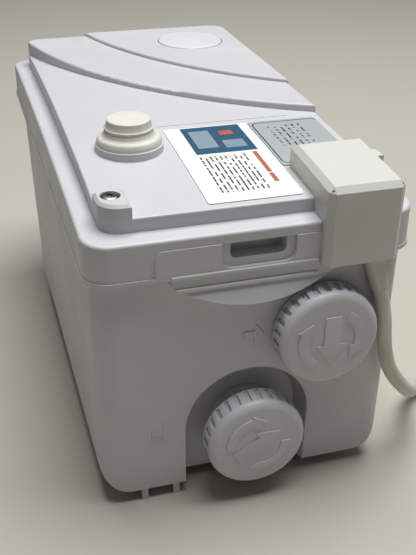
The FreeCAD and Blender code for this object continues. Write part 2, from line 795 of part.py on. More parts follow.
def lid():
    top = (lid_end, lid_rise)
    seat = (ledge_end, ledge_rise)
    half = lid_half_width
    plan = outline(-half, half, lid_front, lid_back, lid_corner)
    inner_half = half - lid_wall
    inner = outline(-inner_half, inner_half, lid_front + lid_wall, lid_back - lid_wall, lid_corner - lid_wall)
    base = softened(layer(plan, seat, top), lid_end - 0.5, lid_rounding)
    slab_low = lid_end - lid_rounding - 0.5
    two = layer(plan, slab_low, step_two).common(rod(step_two_centre, 190.0, far, step_radius))
    three = layer(plan, slab_low, step_three).common(rod(step_three_centre, 190.0, far, step_radius))
    two = softened(two, step_two - 0.1, step_rounding)
    three = softened(three, step_three - 0.1, step_rounding)
    solid = joined([base, screw_tower(plan, seat), two, three])

    hollow = layer(inner, 150.0, (lid_end - lid_wall, lid_rise))
    for place in (left_screw, right_screw):
        hollow = hollow.cut(solid_corner(place))
    hollow_two = layer(inner, 190.0, step_two - lid_wall)
    hollow_two = hollow_two.common(rod(step_two_centre, 180.0, far, step_radius - lid_wall))
    flange = layer(plan, seat, (ledge_end + lid_flange, ledge_rise))
    flange = flange.cut(layer(outline(-opening_half_width, opening_half_width, opening_front,
                                      opening_back, opening_corner), 140.0, far))
    solid = solid.cut(hollow.fuse(hollow_two).cut(flange))
    solid = solid.cut(gasket_ring(gasket_inset, gasket_width + 2.0 * fit, gasket_height + fit, 150.0))

    added = [rod(boot_place, boot_collar_low, boot_collar_top, boot_collar_radius),
             rod(vent_place, vent_floor - lid_wall, step_three - 1.0, vent_bore + lid_wall)]
    for place in pillar_places:
        added.append(rod(place, motor_top, lid_roof(place) + 0.5 * lid_wall, pillar_radius))
    switch_post_top = lid_roof(switch_place) + 0.5 * lid_wall
    added.append(rod(switch_place, switch_roof, switch_post_top, 0.35 * switch_radius))
    for x in hook_places:
        added.append(lid_hook(x))
    solid = joined([solid] + added)
    cuts = [
        rod(boot_place, boot_collar_low - 1.0, boot_collar_top + 1.0, outlet_bore),
        rod(vent_place, step_three - vent_recess, step_three + 9.0, vent_radius + vent_gap),
        rod(vent_place, vent_floor, step_three + 5.0, vent_bore),
        rod(vent_place, vent_floor - lid_wall - 1.0, vent_floor + 1.0, vent_bore - 5.0),
    ]
    for place in pillar_places:
        cuts.append(rod(place, motor_top - 1.0, motor_top + pillar_screw_length, pillar_screw + fit))
    for place, seat in screw_seats():
        cuts.append(rod(place, 170.0, far, screw_shank + 0.4))
        cuts.append(rod(place, seat, far, screw_head + 0.5))
    cuts.append(lead_window())
    x0, x1, y = lid_line
    line_low = crown(y, lid_end, lid_rise) - lid_line_depth
    cuts.append(block(x0, x1, y - 0.5 * lid_line_width, y + 0.5 * lid_line_width, line_low, step_two - 1.0))
    for place in box_screw_places:
        cuts.append(rod(place, 180.0, far, box_screw_radius + fit))
    return without(solid, cuts)


# A flat ring that follows the ledge, inside the lid's outline
def gasket_ring(inset, width, height, low):
    half = lid_half_width - inset
    outer = outline(-half, half, lid_front + inset, lid_back - inset, lid_corner - inset)
    inner = outline(-half + width, half - width, lid_front + inset + width, lid_back - inset - width,
                    lid_corner - inset - width)
    if low < ledge_end:
        bottom = low
    else:
        bottom = (ledge_end, ledge_rise)
    ring = Part.Face([outer, inner.reversed()])
    band = ring.extrude(Vector(0, 0, far))
    side = side_face(bottom, (ledge_end + height, ledge_rise))
    side.translate(Vector(-far, 0, 0))
    return band.common(side.extrude(Vector(2.0 * far, 0, 0)))


# Gasket, screws and the pieces that show on the lid
def lid_screws():
    screws = []
    for place, seat in screw_seats():
        head = rod(place, seat, seat + screw_head_height, screw_head)
        top_edge = [e for e in head.Edges if e.BoundBox.ZMin > seat + screw_head_height - 0.1]
        head = head.makeFillet(0.9, top_edge)
        shank = rod(place, seat - screw_length, seat, screw_shank)
        cross = []
        for angle in (25.0, 115.0):
            slot = block(place[0] - 3.0, place[0] + 3.0, place[1] - 0.55, place[1] + 0.55,
                         seat + 0.9, seat + 4.0)
            slot.rotate(Vector(place[0], place[1], 0), Vector(0, 0, 1), angle)
            cross.append(slot)
        screws.append(without(head.fuse(shank), cross))
    return Part.makeCompound(screws)


# A turned shape from a list of radius and height pairs
def turned(place, profile):
    points = [Vector(place[0] + r, place[1], z) for r, z in profile]
    face = Part.Face(Part.makePolygon(points + [points[0]]))
    return face.revolve(Vector(place[0], place[1], 0), Vector(0, 0, 1), 360.0)


def stepped_boot():
    t = boot_collar_top
    b = boot_top
    w = boot_wall
    bore = outlet_bore - seat_gap
    foot = boot_foot_radius
    neck = boot_neck_radius
    top = boot_top_radius
    profile = [
        (bore - w, t - boot_spigot), (bore, t - boot_spigot), (bore, t),
        (foot, t), (foot + 0.1, t + 0.5), (foot - 0.5, t + 0.9), (foot - 0.7, t + 2.8), (foot - 1.5, t + 4.8),
        (foot - 2.5, t + 5.6), (foot - 4.0, t + 6.1), (neck + 0.6, t + 8.0), (neck - 0.5, t + 10.2),
        (neck + 0.1, t + 11.0), (neck - 0.3, t + 11.5), (top + 0.5, b - 1.4), (top, b),
        (0.0, b), (0.0, b - w), (top + 0.4 - w, b - w), (neck - 0.5 - w, t + 10.0), (neck - w, t + 6.0),
    ]
    return turned(boot_place, profile)


# Vent disc let into the lid, with its spigot and the filter under it
def vent_cap():
    z = step_three - vent_recess
    disc = rod(vent_place, z, step_three + vent_proud, vent_radius)
    disc = disc.makeFillet(0.9, [e for e in disc.Edges if e.BoundBox.ZMin > step_three + vent_proud - 0.1])
    spigot = tube(vent_place, z - vent_spigot, z + 0.5, vent_bore - fit, vent_bore - 2.0)
    breather = []
    for i in range(6):
        a = math.radians(60.0 * i)
        hole = (vent_place[0] + 14.0 * math.cos(a), vent_place[1] + 14.0 * math.sin(a))
        breather.append(rod(hole, z - 1.0, z + 2.0, 2.0))
    return without(disc.fuse(spigot), breather)


def charcoal_filter():
    top = step_three - vent_recess - vent_spigot - seat_gap
    return rod(vent_place, vent_floor, top, vent_bore - seat_gap)


# Control box: a cover over the lid's corner with its wiring parts inside
def box_hull(inset):
    x0 = box_left + inset
    x1 = box_right - inset
    y0 = box_front + inset
    y1 = box_back - inset
    z0 = box_low + inset
    z1 = box_top_front - inset
    rise = box_top_rise
    side = [Vector(x0, y0, z0), Vector(x0, y1, z0), Vector(x0, y1, z1 + rise), Vector(x0, y0, z1)]
    return Part.Face(Part.makePolygon(side + [side[0]])).extrude(Vector(x1 - x0, 0, 0))


# What the box stands on: the lid and the collar, grown by a small gap
def box_seat(gap):
    half = lid_half_width + gap
    lid_block = layer(outline(-half, half, lid_front - gap, lid_back, lid_corner),
                      100.0, (lid_end + gap, lid_rise))
    ledge_block = layer(outline(-half_width - 3, half_width + 3, -half_length - panel_raise - gap,
                                half_length, collar_corner), 100.0, (ledge_end + gap, ledge_rise))
    return lid_block.fuse(ledge_block)


def box_cover():
    hull = box_hull(0.0)
    picked = []
    for edge in hull.Edges:
        box = edge.BoundBox
        middle = edge.valueAt(0.5 * (edge.FirstParameter + edge.LastParameter))
        top = box.ZMin > box_top_front - 1.0
        upright = box.ZMax - box.ZMin > 30.0 and middle.y < box_front + 1.0
        if top or upright:
            picked.append(edge)
    hull = hull.makeChamfer(box_chamfer, picked)
    shell = hull.cut(box_hull(box_wall))
    tab = block(box_right - 0.5, box_right + latch_reach, latch_span[0], latch_span[1],
                latch_heights[0], latch_heights[1])
    tab = tab.makeFillet(1.2, [e for e in tab.Edges if e.BoundBox.XMin > box_right + latch_reach - 0.1])
    slot_z = 0.5 * (latch_heights[0] + latch_heights[1])
    tab = tab.cut(block(box_right + 2.0, box_right + latch_reach + 1.0,
                        latch_span[0] + 2.0, latch_span[1] - 2.0, slot_z - 0.9, slot_z + 0.9))
    shell = shell.fuse(tab).cut(box_seat(0.15))
    return shell.cut(gland_sleeve(fit))


# Height of the base plate's top, just above the lid's crown under the box
base_top = crown(terminal_back, lid_end, lid_rise) + base_thickness


def box_base():
    plate = block(box_left + box_wall + seat_gap, box_right - box_wall - seat_gap, base_front,
                  box_back - box_wall - seat_gap, base_top - 8.0, base_top)
    plate = plate.cut(box_seat(0.0))
    cuts = [lead_window()]
    cuts.append(rod(right_screw, 180.0, far, screw_head + 1.4))
    for place in box_screw_places:
        cuts.append(rod(place, 180.0, far, box_screw_radius + 0.4))
    return without(plate, cuts)


def box_screws():
    screws = []
    for place in box_screw_places:
        head = rod(place, base_top, base_top + 1.8, 2.2 * box_screw_radius)
        screws.append(head.fuse(rod(place, base_top - box_screw_length, base_top, box_screw_radius)))
    return Part.makeCompound(screws)


def terminal_block():
    top = base_top + terminal_height
    body = block(terminal_span[0], terminal_span[1], terminal_front, terminal_back, base_top, top)
    middle = 0.5 * (terminal_front + terminal_back)
    step = (terminal_span[1] - terminal_span[0]) / 3.0
    holes = [rod((terminal_span[0] + (i + 0.5) * step, middle), top - 4.0, top + 1.0, 2.0) for i in range(3)]
    return without(body, holes)


# Run capacitor that lies on the ledge, in front of the lid
def capacitor():
    y = lid_front - capacitor_radius - 2.5
    z = crown(y, ledge_end, ledge_rise) + seat_gap + capacitor_radius
    x = box_left + box_wall + 2.5
    return rod_x(y, z, x, x + capacitor_length, capacitor_radius)


# Strain relief of the cord: a tapered sleeve, flat where it lies between box and tank
def gland_sleeve(extra):
    start = Vector(cord_exit[0], cord_exit[1], box_low)
    stop = Vector(*cord_route[0])
    along = stop.sub(start)
    length = along.Length
    along.normalize()
    inside = start.sub(Vector(along).multiply(box_wall + 2.0))
    root = Part.makeCylinder(gland_radius + extra, box_wall + 2.0, inside, along)
    cone = Part.makeCone(gland_radius + extra, cord_radius + 0.9 + extra, length, start, along)
    deep = gland_half_depth + extra
    x, y = cord_exit
    slab = block(x - 40.0, x + 40.0, y - deep, y + deep, 100.0, 200.0)
    return root.fuse(cone).common(slab)


def cord_gland():
    x, y = cord_exit
    flange = block(x - 8.0, x + 7.0, y - gland_half_depth, y + gland_half_depth,
                   box_low + box_wall, box_low + box_wall + 2.4)
    below = block(x - 40.0, x + 40.0, y - 20.0, y + 20.0, 100.0, box_low + box_wall + 1.0)
    sleeve = gland_sleeve(0.0).common(below)
    return joined([flange, sleeve])


# Motor: a sealed can hung by three ears from pillars below the lid
def motor_housing():
    can = rod(motor_place, motor_low, motor_top, motor_radius)
    can = can.cut(rod(motor_place, motor_low + motor_floor, motor_top - motor_roof, motor_radius - can_wall))
    ears = []
    for angle in ear_angles:
        x, y = motor_place
        arm = block(x + motor_radius - can_wall, x + ear_circle, y - ear_radius, y + ear_radius,
                    motor_top - ear_thickness, motor_top)
        tip = rod((x + ear_circle, y), motor_top - ear_thickness, motor_top, ear_radius)
        ear = arm.fuse(tip)
        ear.rotate(Vector(x, y, 0), Vector(0, 0, 1), angle)
        ears.append(ear)
    guard = rod(motor_place, upper_bearing[0], motor_top - 1.0, bearing_outer + wall)
    can = joined([can, guard] + ears)
    cuts = [
        rod(motor_place, motor_low - 1.0, seal_span[0] + 1.0, shaft_radius + 0.5),
        rod(motor_place, seal_span[0], motor_low + motor_floor + 1.0, bearing_outer),
        rod(motor_place, upper_bearing[0] - 1.0, upper_bearing[1] + 2.0, bearing_outer),
        rod(lead_exit, motor_top - motor_roof - 1.0, motor_top + 1.0, lead_radius + 0.4),
    ]
    for place in pillar_places:
        cuts.append(rod(place, motor_top - 20.0, motor_top + 8.0, pillar_screw + 0.3))
    return without(can, cuts)


def motor_screws():
    screws = []
    low = motor_top - ear_thickness
    for place in pillar_places:
        head = rod(place, low - 3.0, low, 2.0 * pillar_screw)
        screws.append(head.fuse(rod(place, low, low + pillar_screw_length, pillar_screw)))
    return Part.makeCompound(screws)


# Leads: motor to the terminals, and terminals to the cord's end
def motor_lead():
    x, y = box_lead
    z = base_top + 0.5 * terminal_height
    inside = crown(y, lid_end, lid_rise) - 8.0
    points = [
        Vector(lead_exit[0], lead_exit[1], motor_top - motor_roof),
        Vector(lead_exit[0], lead_exit[1], motor_top + 16.0),
        Vector(14.0, lid_front + 123.0, lid_end - 6.5), Vector(46.0, lid_front + 53.0, lid_end - 7.5),
        Vector(x, y, inside), Vector(x, y, z),
        Vector(x, terminal_front, z),
    ]
    return swept(rounded_path(points, ""), lead_radius)


def mains_lead():
    x, y = cord_exit
    z = base_top + 0.5 * terminal_height
    back = 0.5 * (terminal_front + terminal_back)
    points = [
        Vector(x, y, box_low + box_wall + 2.4), Vector(x, y, z), Vector(x, back, z),
        Vector(terminal_span[1], back, z),
    ]
    return swept(rounded_path(points, ""), lead_radius)


def bearing(span):
    outer = tube(motor_place, span[0], span[1], bearing_outer, bearing_outer - 2.6)
    inner = tube(motor_place, span[0], span[1], shaft_radius + 2.4, shaft_radius + fit)
    pitch = 0.5 * (bearing_outer - 2.6 + shaft_radius + 2.4)
    ball = 0.5 * (bearing_outer - 2.6 - shaft_radius - 2.4)
    balls = tube(motor_place, span[0] + 2.0, span[1] - 2.0, pitch + ball, pitch - ball)
    return joined([outer, inner, balls])


def rotor_shaft():
    shaft = rod(motor_place, volute_low + 6.0, upper_bearing[1], shaft_radius)
    core = rod(motor_place, stator_span[0] + 2.0, stator_span[1] - 2.0, rotor_radius)
    shoulder = rod(motor_place, lower_bearing[1] + 0.4, stator_span[0] + 3.0, shaft_radius + 2.0)
    return joined([shaft, core, shoulder])


def stator():
    low, high = stator_span
    ring = tube(motor_place, low, high, motor_radius - can_wall - fit, rotor_radius + air_gap)
    coils = []
    for end in (low - winding_height, high):
        winding_radius = motor_radius - can_wall - 5.0
        coils.append(tube(motor_place, end, end + winding_height, winding_radius, rotor_radius + 3.0))
    return joined([ring] + coils)


def shaft_seal():
    return tube(motor_place, seal_span[0], seal_span[1], bearing_outer - fit, shaft_radius + fit)


# Pump end below the motor: impeller in a volute with a slotted strainer
def impeller():
    low = volute_low + 8.0
    x, y = motor_place
    plate = rod(motor_place, low + 11.0, low + 13.5, impeller_radius)
    hub = rod(motor_place, low, low + 20.0, impeller_hub)
    vanes = []
    for i in range(impeller_vanes):
        start = Vector(x + impeller_hub - 2.0, y, low + 1.0)
        vane = Part.makeBox(impeller_radius - 8.0, 2.4, 11.0, start)
        vane.rotate(start, Vector(0, 0, 1), 28.0)
        vane.rotate(Vector(x, y, 0), Vector(0, 0, 1), 360.0 * i / impeller_vanes)
        vanes.append(vane)
    solid = joined([plate, hub] + vanes).common(rod(motor_place, 0.0, 100.0, impeller_radius))
    return solid.cut(rod(motor_place, 0.0, 100.0, shaft_radius))


def volute():
    outer = impeller_radius + 12.0 + volute_wall
    place = (boot_place[0], riser_level)
    case = rod(motor_place, volute_low, motor_low, outer)
    case = case.fuse(rod_y(place, spout_front, motor_place[1], riser_bore + riser_wall))
    hollow = rod(motor_place, volute_low + volute_wall, motor_low - 2.0 * volute_wall, outer - volute_wall)
    throat = rod_y(place, spout_front - 1.0, motor_place[1], riser_bore)
    eye = rod(motor_place, volute_low - 1.0, volute_low + volute_wall + 1.0, 0.45 * impeller_radius)
    bore = rod(motor_place, volute_low, motor_low + 1.0, impeller_hub + 0.6)
    return without(case, [hollow, throat, eye, bore])


# Slotted strainer between the volute and the tank's floor
def strainer():
    low = volute_low - strainer_height
    x, y = motor_place
    ring = tube(motor_place, low, volute_low, strainer_radius, strainer_radius - volute_wall)
    slots = []
    for i in range(strainer_slots):
        slot = block(x + strainer_radius - 2.0 * volute_wall, x + strainer_radius + 2.0, y - 2.5, y + 2.5,
                     low + 3.0, volute_low - 3.0)
        slot.rotate(Vector(x, y, 0), Vector(0, 0, 1), 360.0 * i / strainer_slots)
        slots.append(slot)
    return without(ring, slots).fuse(rod(motor_place, low, low + 2.0, strainer_radius - 1.0))


# Path of straight runs joined by tangent arcs, each as large as its runs allow
def rounded_path(points, label):
    runs = [points[i + 1].sub(points[i]) for i in range(len(points) - 1)]
    edges = []
    at = points[0]
    for i in range(1, len(points) - 1):
        before = runs[i - 1]
        after = runs[i]
        turn = before.getAngle(after)
        radius = 0.45 * min(before.Length, after.Length) / math.tan(0.5 * turn)
        reach = radius * math.tan(0.5 * turn)
        start = points[i].sub(Vector(before).normalize().multiply(reach))
        stop = points[i].add(Vector(after).normalize().multiply(reach))
        inward = start.add(stop).multiply(0.5).sub(points[i]).normalize()
        centre = points[i].add(Vector(inward).multiply(radius / math.cos(0.5 * turn)))
        middle = centre.sub(Vector(inward).multiply(radius))
        edges.append(Part.LineSegment(at, start).toShape())
        edges.append(Part.Arc(start, middle, stop).toShape())
        at = stop
        if label:
            print(label, "radius", round(radius, 1), "turn", round(math.degrees(turn)))
    edges.append(Part.LineSegment(at, points[-1]).toShape())
    return Part.Wire(edges)


def swept(path, radius):
    first = path.Edges[0]
    start = first.valueAt(first.FirstParameter)
    direction = first.tangentAt(first.FirstParameter)
    circle = Part.Wire(Part.makeCircle(radius, start, direction))
    return path.makePipeShell([circle], True, False)


def discharge_pipe():
    x, y = boot_place
    points = [Vector(x, spout_front, riser_level), Vector(x, y, riser_level), Vector(x, y, valve_low)]
    path = rounded_path(points, "")
    return swept(path, riser_bore + riser_wall).cut(swept(path, riser_bore))


# Check valve: a chamber with a seat, and a flap on a pin that water lifts
check_pin_y = boot_place[1] + check_pin_back
check_pin_z = valve_low + check_pin_up
check_hole = rod_x(check_pin_y, check_pin_z, boot_place[0] - 12.0, boot_place[0] + 12.0,
                   check_pin_radius + fit)


def valve_body():
    chamber = rod(boot_place, valve_low, valve_top, valve_radius)
    neck = rod(boot_place, valve_top, boot_collar_low - seat_gap, riser_bore + riser_wall + valve_wall)
    hollow = rod(boot_place, valve_low + valve_wall + 1.0, valve_top - valve_wall, valve_radius - valve_wall)
    seat = rod(boot_place, valve_low - 1.0, valve_low + valve_wall + 2.0, riser_bore)
    out = rod(boot_place, valve_top - valve_wall - 1.0, boot_collar_low, riser_bore + riser_wall)
    solid = without(joined([chamber, neck]), [hollow, seat, out])
    for side in (-1, 1):
        x = boot_place[0] + side * check_ear
        solid = solid.fuse(block(x - 1.2, x + 1.2, check_pin_y - 2.6, check_pin_y + 2.0,
                                 valve_low + valve_wall, check_pin_z + 2.2))
    return solid.cut(check_hole)


def check_flap():
    x, y = boot_place
    z = valve_low + valve_wall + 1.0 + seat_gap
    half = check_ear - 1.2 - seat_gap
    disc = rod((x, y - 1.0), z, z + 2.0, check_radius)
    arm = block(x - half, x + half, y, check_pin_y, z, z + 2.0)
    knuckle = rod_x(check_pin_y, check_pin_z, x - half, x + half, 2.2)
    lift = block(x - half, x + half, check_pin_y - 2.2, check_pin_y + 1.4, z, check_pin_z)
    return joined([disc, arm, knuckle, lift]).cut(check_hole)


def check_pin():
    reach = check_ear + 1.2
    return rod_x(check_pin_y, check_pin_z, boot_place[0] - reach, boot_place[0] + reach, check_pin_radius)


# Level switch: a dip tube traps air that lifts a diaphragm under a plunger
def pressure_tube():
    pipe = rod(switch_place, tube_low, tube_top, tube_radius)
    flange = rod(switch_place, tube_top - 3.0, tube_top, switch_radius)
    return pipe.fuse(flange).cut(rod(switch_place, tube_low - 1.0, tube_top + 1.0, tube_radius - tube_wall))


def diaphragm():
    return rod(switch_place, tube_top, tube_top + diaphragm_thickness, switch_radius - 0.5)


def switch_housing():
    low = tube_top + diaphragm_thickness
    shell = rod(switch_place, low, switch_roof, switch_radius)
    hollow = rod(switch_place, low - 1.0, low + 2.0 + plunger_travel + 1.5, switch_radius - wall)
    guide = rod(switch_place, low, low + 13.0 + plunger_travel, plunger_radius + fit)
    return without(shell, [hollow, guide])


def switch_plunger():
    low = tube_top + diaphragm_thickness + seat_gap
    plate = rod(switch_place, low, low + 2.0, 2.5 * plunger_radius)
    return plate.fuse(rod(switch_place, low, low + 12.0, plunger_radius))


# Rubber feet pushed into the floor of the tank
def feet():
    pads = []
    for place in foot_places:
        stud = rod(place, 0.0, foot_height + foot_stud_length, foot_stud)
        pads.append(rod(place, 0.0, foot_height, foot_radius).fuse(stud))
    return Part.makeCompound(pads)


# Two stickers on the lid that follow its crown
def label(span):
    plan = outline(span[0], span[1], span[2], span[3], label_corner)
    low = lid_end + seat_gap
    return layer(plan, (low, lid_rise), (low + label_thickness, lid_rise))


# Length of a tube, and its volume as a share of its section times its length
def print_tube(label, path, solid):
    ideal = math.pi * cord_radius ** 2 * path.Length
    print(label, "length", round(path.Length, 1), "volume ratio", round(solid.Volume / ideal, 4))


# Free stretch of the cord, from the strain relief down to the floor and the coil
def free_cord(coil_start, coil_heading):
    points = [Vector(*p) for p in cord_route]
    points.append(coil_start.sub(Vector(coil_heading).multiply(cord_lead_in)))
    points.append(coil_start)
    path = rounded_path(points, "cord")
    solid = swept(path, cord_radius)
    print_tube("cord", path, solid)
    return solid


# Arc between a start and an end whose tangents meet at one corner
def corner_arc(start, corner, stop):
    a = start.sub(corner)
    b = stop.sub(corner)
    half = 0.5 * a.getAngle(b)
    inward = a.add(b).normalize()
    reach = a.Length / math.cos(half)
    radius = a.Length * math.tan(half)
    middle = corner.add(Vector(inward).multiply(reach - radius))
    return Part.Arc(start, middle, stop).toShape()


def biarc(p0, t0, p1, t1):
    v = p1.sub(p0)
    t = t0.add(t1)
    a2 = 4.0 - t.dot(t)
    vt = v.dot(t)
    a = (-vt + math.sqrt(vt * vt + a2 * v.dot(v))) / a2
    corner_a = p0.add(Vector(t0).multiply(a))
    corner_b = p1.sub(Vector(t1).multiply(a))
    join = corner_a.add(corner_b).multiply(0.5)
    return [corner_arc(p0, corner_a, join), corner_arc(join, corner_b, p1)]


# Place and heading of the coil after a number of quarter turns, in and out again
def coil_point(quarter):
    middle = 0.5 * coil_quarters
    radius = coil_inner + coil_pitch * 0.25 * abs(quarter - middle)
    climb = min(max(quarter - (middle - 1.0), 0.0), 2.0) * 0.5
    z = cord_radius + coil_rise * climb
    angle = math.radians(coil_start_angle - 90.0 * quarter)
    slope = 0.0
    if quarter < middle:
        slope = -coil_pitch / (2.0 * math.pi)
    if quarter > middle:
        slope = coil_pitch / (2.0 * math.pi)
    rise = 0.0
    if abs(quarter - middle) < 0.5:
        rise = coil_rise / math.pi * 1.35
    place = Vector(coil_centre[0] + radius * math.cos(angle), coil_centre[1] + radius * math.sin(angle), z)
    heading = Vector(radius * math.sin(angle) + slope * math.cos(angle),
                     -radius * math.cos(angle) + slope * math.sin(angle), rise)
    return place, heading.normalize()


def coil_path():
    edges = []
    p0, t0 = coil_point(0)
    edges.append(Part.LineSegment(p0.sub(Vector(t0).multiply(2.0 * cord_radius)), p0).toShape())
    for quarter in range(coil_quarters):
        p1, t1 = coil_point(quarter + 1)
        edges.extend(biarc(p0, t0, p1, t1))
        p0, t0 = p1, t1
    edges.append(Part.LineSegment(p0, p0.add(Vector(t0).multiply(2.0 * cord_radius))).toShape())
    return Part.Wire(edges)


def self_gap(path):
    step = 3.0
    points = []
    for edge in path.Edges:
        points.extend(edge.discretize(max(2, int(edge.Length / step)))[:-1])
    run = [0.0]
    for i in range(1, len(points)):
        run.append(run[-1] + points[i].distanceToPoint(points[i - 1]))
    least = 1000.0
    for i in range(len(points)):
        for j in range(i + 1, len(points)):
            if run[j] - run[i] > 60.0:
                least = min(least, points[i].distanceToPoint(points[j]))
    return least - 2.0 * cord_radius


# Two pin plug with earth clips, beside the coil
plug_face = plug_boot + plug_length


def plug_frame(shape, start, heading):
    angle = math.degrees(math.atan2(heading.y, heading.x))
    shape.rotate(Vector(0, 0, 0), Vector(0, 0, 1), angle)
    shape.translate(start)
    return shape


def plug_body(start, heading):
    height = cord_radius + coil_rise
    drum = plug_length - 14.0
    along = Vector(1, 0, 0)
    boot = Part.makeCone(cord_radius + 1.2, 8.5, plug_boot, Vector(0, 0, 0), along)
    rear = Part.makeCone(8.5, plug_radius, 14.0, Vector(plug_boot, 0, 0), along)
    front = Part.makeCylinder(plug_radius, drum, Vector(plug_boot + 14.0, 0, 0), along)
    solid = joined([boot, rear, front])
    solid = solid.common(block(-5.0, 200.0, -60.0, 60.0, -height, height))
    cuts = []
    for side in (-1, 1):
        cuts.append(rod_x(side * plug_pin_spread, 0.0, plug_face - 10.0, plug_face + 1.0, plug_pin_root))
        clip = side * (height - 1.0)
        cuts.append(block(plug_face - 14.0, plug_face + 1.0, -2.5, 2.5, clip - 1.2, clip + 1.2))
    return plug_frame(without(solid, cuts), start, heading)


def plug_pins(start, heading):
    tip_x = plug_face + plug_pin_length
    pins = []
    for side in (-1, 1):
        pin = rod_x(side * plug_pin_spread, 0.0, plug_face + plug_pin_step, tip_x, plug_pin_radius)
        tip = [e for e in pin.Edges if e.BoundBox.XMin > tip_x - 0.1]
        pin = pin.makeFillet(0.5 * plug_pin_radius, tip)
        root_end = plug_face + plug_pin_step + 1.0
        pins.append(pin.fuse(rod_x(side * plug_pin_spread, 0.0, plug_face - 10.0, root_end, plug_pin_root)))
    return plug_frame(Part.makeCompound(pins), start, heading)


save("tank", tank())
save("tank_collar", tank_collar())
save("inlet_recess", inlet_recess())
save("feet", feet())
save("lid", lid())
save("lid_gasket", gasket_ring(gasket_inset + fit, gasket_width, gasket_height, ledge_end))
save("lid_screws", lid_screws())
save("stepped_boot", stepped_boot())
save("vent_cap", vent_cap())
save("charcoal_filter", charcoal_filter())
save("box_cover", box_cover())
save("box_base", box_base())
save("box_screws", box_screws())
save("terminal_block", terminal_block())
save("capacitor", capacitor())
save("cord_gland", cord_gland())
save("mains_lead", mains_lead())
save("motor_lead", motor_lead())
save("white_label", label(white_label_box))
save("grey_label", label(grey_label_box))

turns = {"upper": 0.0, "lower": -122.0}
for name in ("upper", "lower"):
    save(name + "_inlet_neck", inlet_neck(inlets[name], flap_seats[name]))
    save(name + "_cap", screw_cap(inlets[name], turns[name]))
    save(name + "_washer", cap_washer(inlets[name]))
    save(name + "_flap", inlet_flap(inlets[name], flap_seats[name]))
    save(name + "_flap_pin", flap_pin(inlets[name], flap_seats[name]))

save("motor_housing", motor_housing())
save("motor_screws", motor_screws())
save("stator", stator())
save("rotor_shaft", rotor_shaft())
save("upper_bearing", bearing(upper_bearing))
save("lower_bearing", bearing(lower_bearing))
save("shaft_seal", shaft_seal())
save("impeller", impeller())
save("volute", volute())
save("strainer", strainer())
save("discharge_pipe", discharge_pipe())
save("valve_body", valve_body())
save("check_flap", check_flap())
save("check_pin", check_pin())
save("pressure_tube", pressure_tube())
save("diaphragm", diaphragm())
save("switch_housing", switch_housing())
save("switch_plunger", switch_plunger())

coil = coil_path()
coil_solid = swept(coil, cord_radius)
print_tube("coil", coil, coil_solid)
print("coil least gap to itself", round(self_gap(coil), 2))
save("cord_coil", coil_solid)
first = coil.Edges[0]
last = coil.Edges[-1]
coil_start = first.valueAt(first.FirstParameter)
coil_heading = first.tangentAt(first.FirstParameter)
save("power_cord", free_cord(coil_start, coil_heading))
coil_end = last.valueAt(last.LastParameter)
plug_heading = last.tangentAt(last.LastParameter)
plug_heading = Vector(plug_heading.x, plug_heading.y, 0.0)
save("plug_body", plug_body(coil_end, plug_heading))
save("plug_pins", plug_pins(coil_end, plug_heading))
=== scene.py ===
import math

import bmesh
import bpy
from mathutils import Euler, Matrix, Vector


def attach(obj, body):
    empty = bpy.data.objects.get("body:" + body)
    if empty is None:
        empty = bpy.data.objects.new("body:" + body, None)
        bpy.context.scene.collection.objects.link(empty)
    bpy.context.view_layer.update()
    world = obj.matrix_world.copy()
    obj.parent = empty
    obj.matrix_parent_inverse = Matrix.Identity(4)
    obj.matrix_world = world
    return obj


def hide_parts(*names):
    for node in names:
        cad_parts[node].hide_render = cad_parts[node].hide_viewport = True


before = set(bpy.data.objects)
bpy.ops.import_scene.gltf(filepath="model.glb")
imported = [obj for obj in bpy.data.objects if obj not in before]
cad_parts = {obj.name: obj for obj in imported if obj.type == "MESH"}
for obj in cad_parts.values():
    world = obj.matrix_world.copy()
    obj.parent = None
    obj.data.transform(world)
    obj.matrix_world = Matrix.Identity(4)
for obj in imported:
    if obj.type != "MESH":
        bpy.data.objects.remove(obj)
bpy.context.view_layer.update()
bpy.ops.object.select_all(action="DESELECT")


# Camera: stands before the pump's front end, to the left and above, and looks down on it.
# Its place, turn and lens come from the straight edges of the pump itself.
camera_place = (-0.15525, -0.58903, 0.40946)
look_down = 29.763
look_aside = -16.968
lean = 0.770
camera_data = bpy.data.cameras.new("camera")
camera_data.sensor_fit = "VERTICAL"
camera_data.sensor_height = 24.0
camera_data.lens = 37.665
camera_data.clip_start = 0.01
camera = bpy.data.objects.new("camera", camera_data)
bpy.context.scene.collection.objects.link(camera)
heading = Euler((math.radians(90.0 - look_down), 0.0, math.radians(look_aside))).to_matrix()
tilt = Matrix.Rotation(math.radians(lean), 3, "Z")
camera.matrix_world = Matrix.Translation(camera_place) @ (heading @ tilt).to_4x4()
bpy.context.scene.camera = camera
bpy.context.scene.view_settings.view_transform = "Standard"


# Free cord: a round mains cord with a soft white sheath. It hangs from the strain relief,
# passes the upper cap and lies on the floor, and its spare length is coiled beside the pump.
cord_radius = 0.0048
cord_hang = [
    (0.0780, -0.1811, 0.1436), (0.0841, -0.1811, 0.1245), (0.0842, -0.1855, 0.1003),
    (0.0911, -0.1848, 0.0795), (0.1110, -0.1788, 0.0544), (0.1292, -0.1564, 0.0373),
    (0.1410, -0.1301, 0.0202), (0.1633, -0.1165, 0.0052),
]
coil_centre = (0.2620, -0.1437)
coil_inner = 0.0480
coil_pitch = 0.0103
coil_rise = 0.0102
coil_turns = 2.5
coil_points = 24
coil_start = math.radians(98.0)
climb_turns = 0.5
straight_long = 0.0396
straight_short = 0.0096


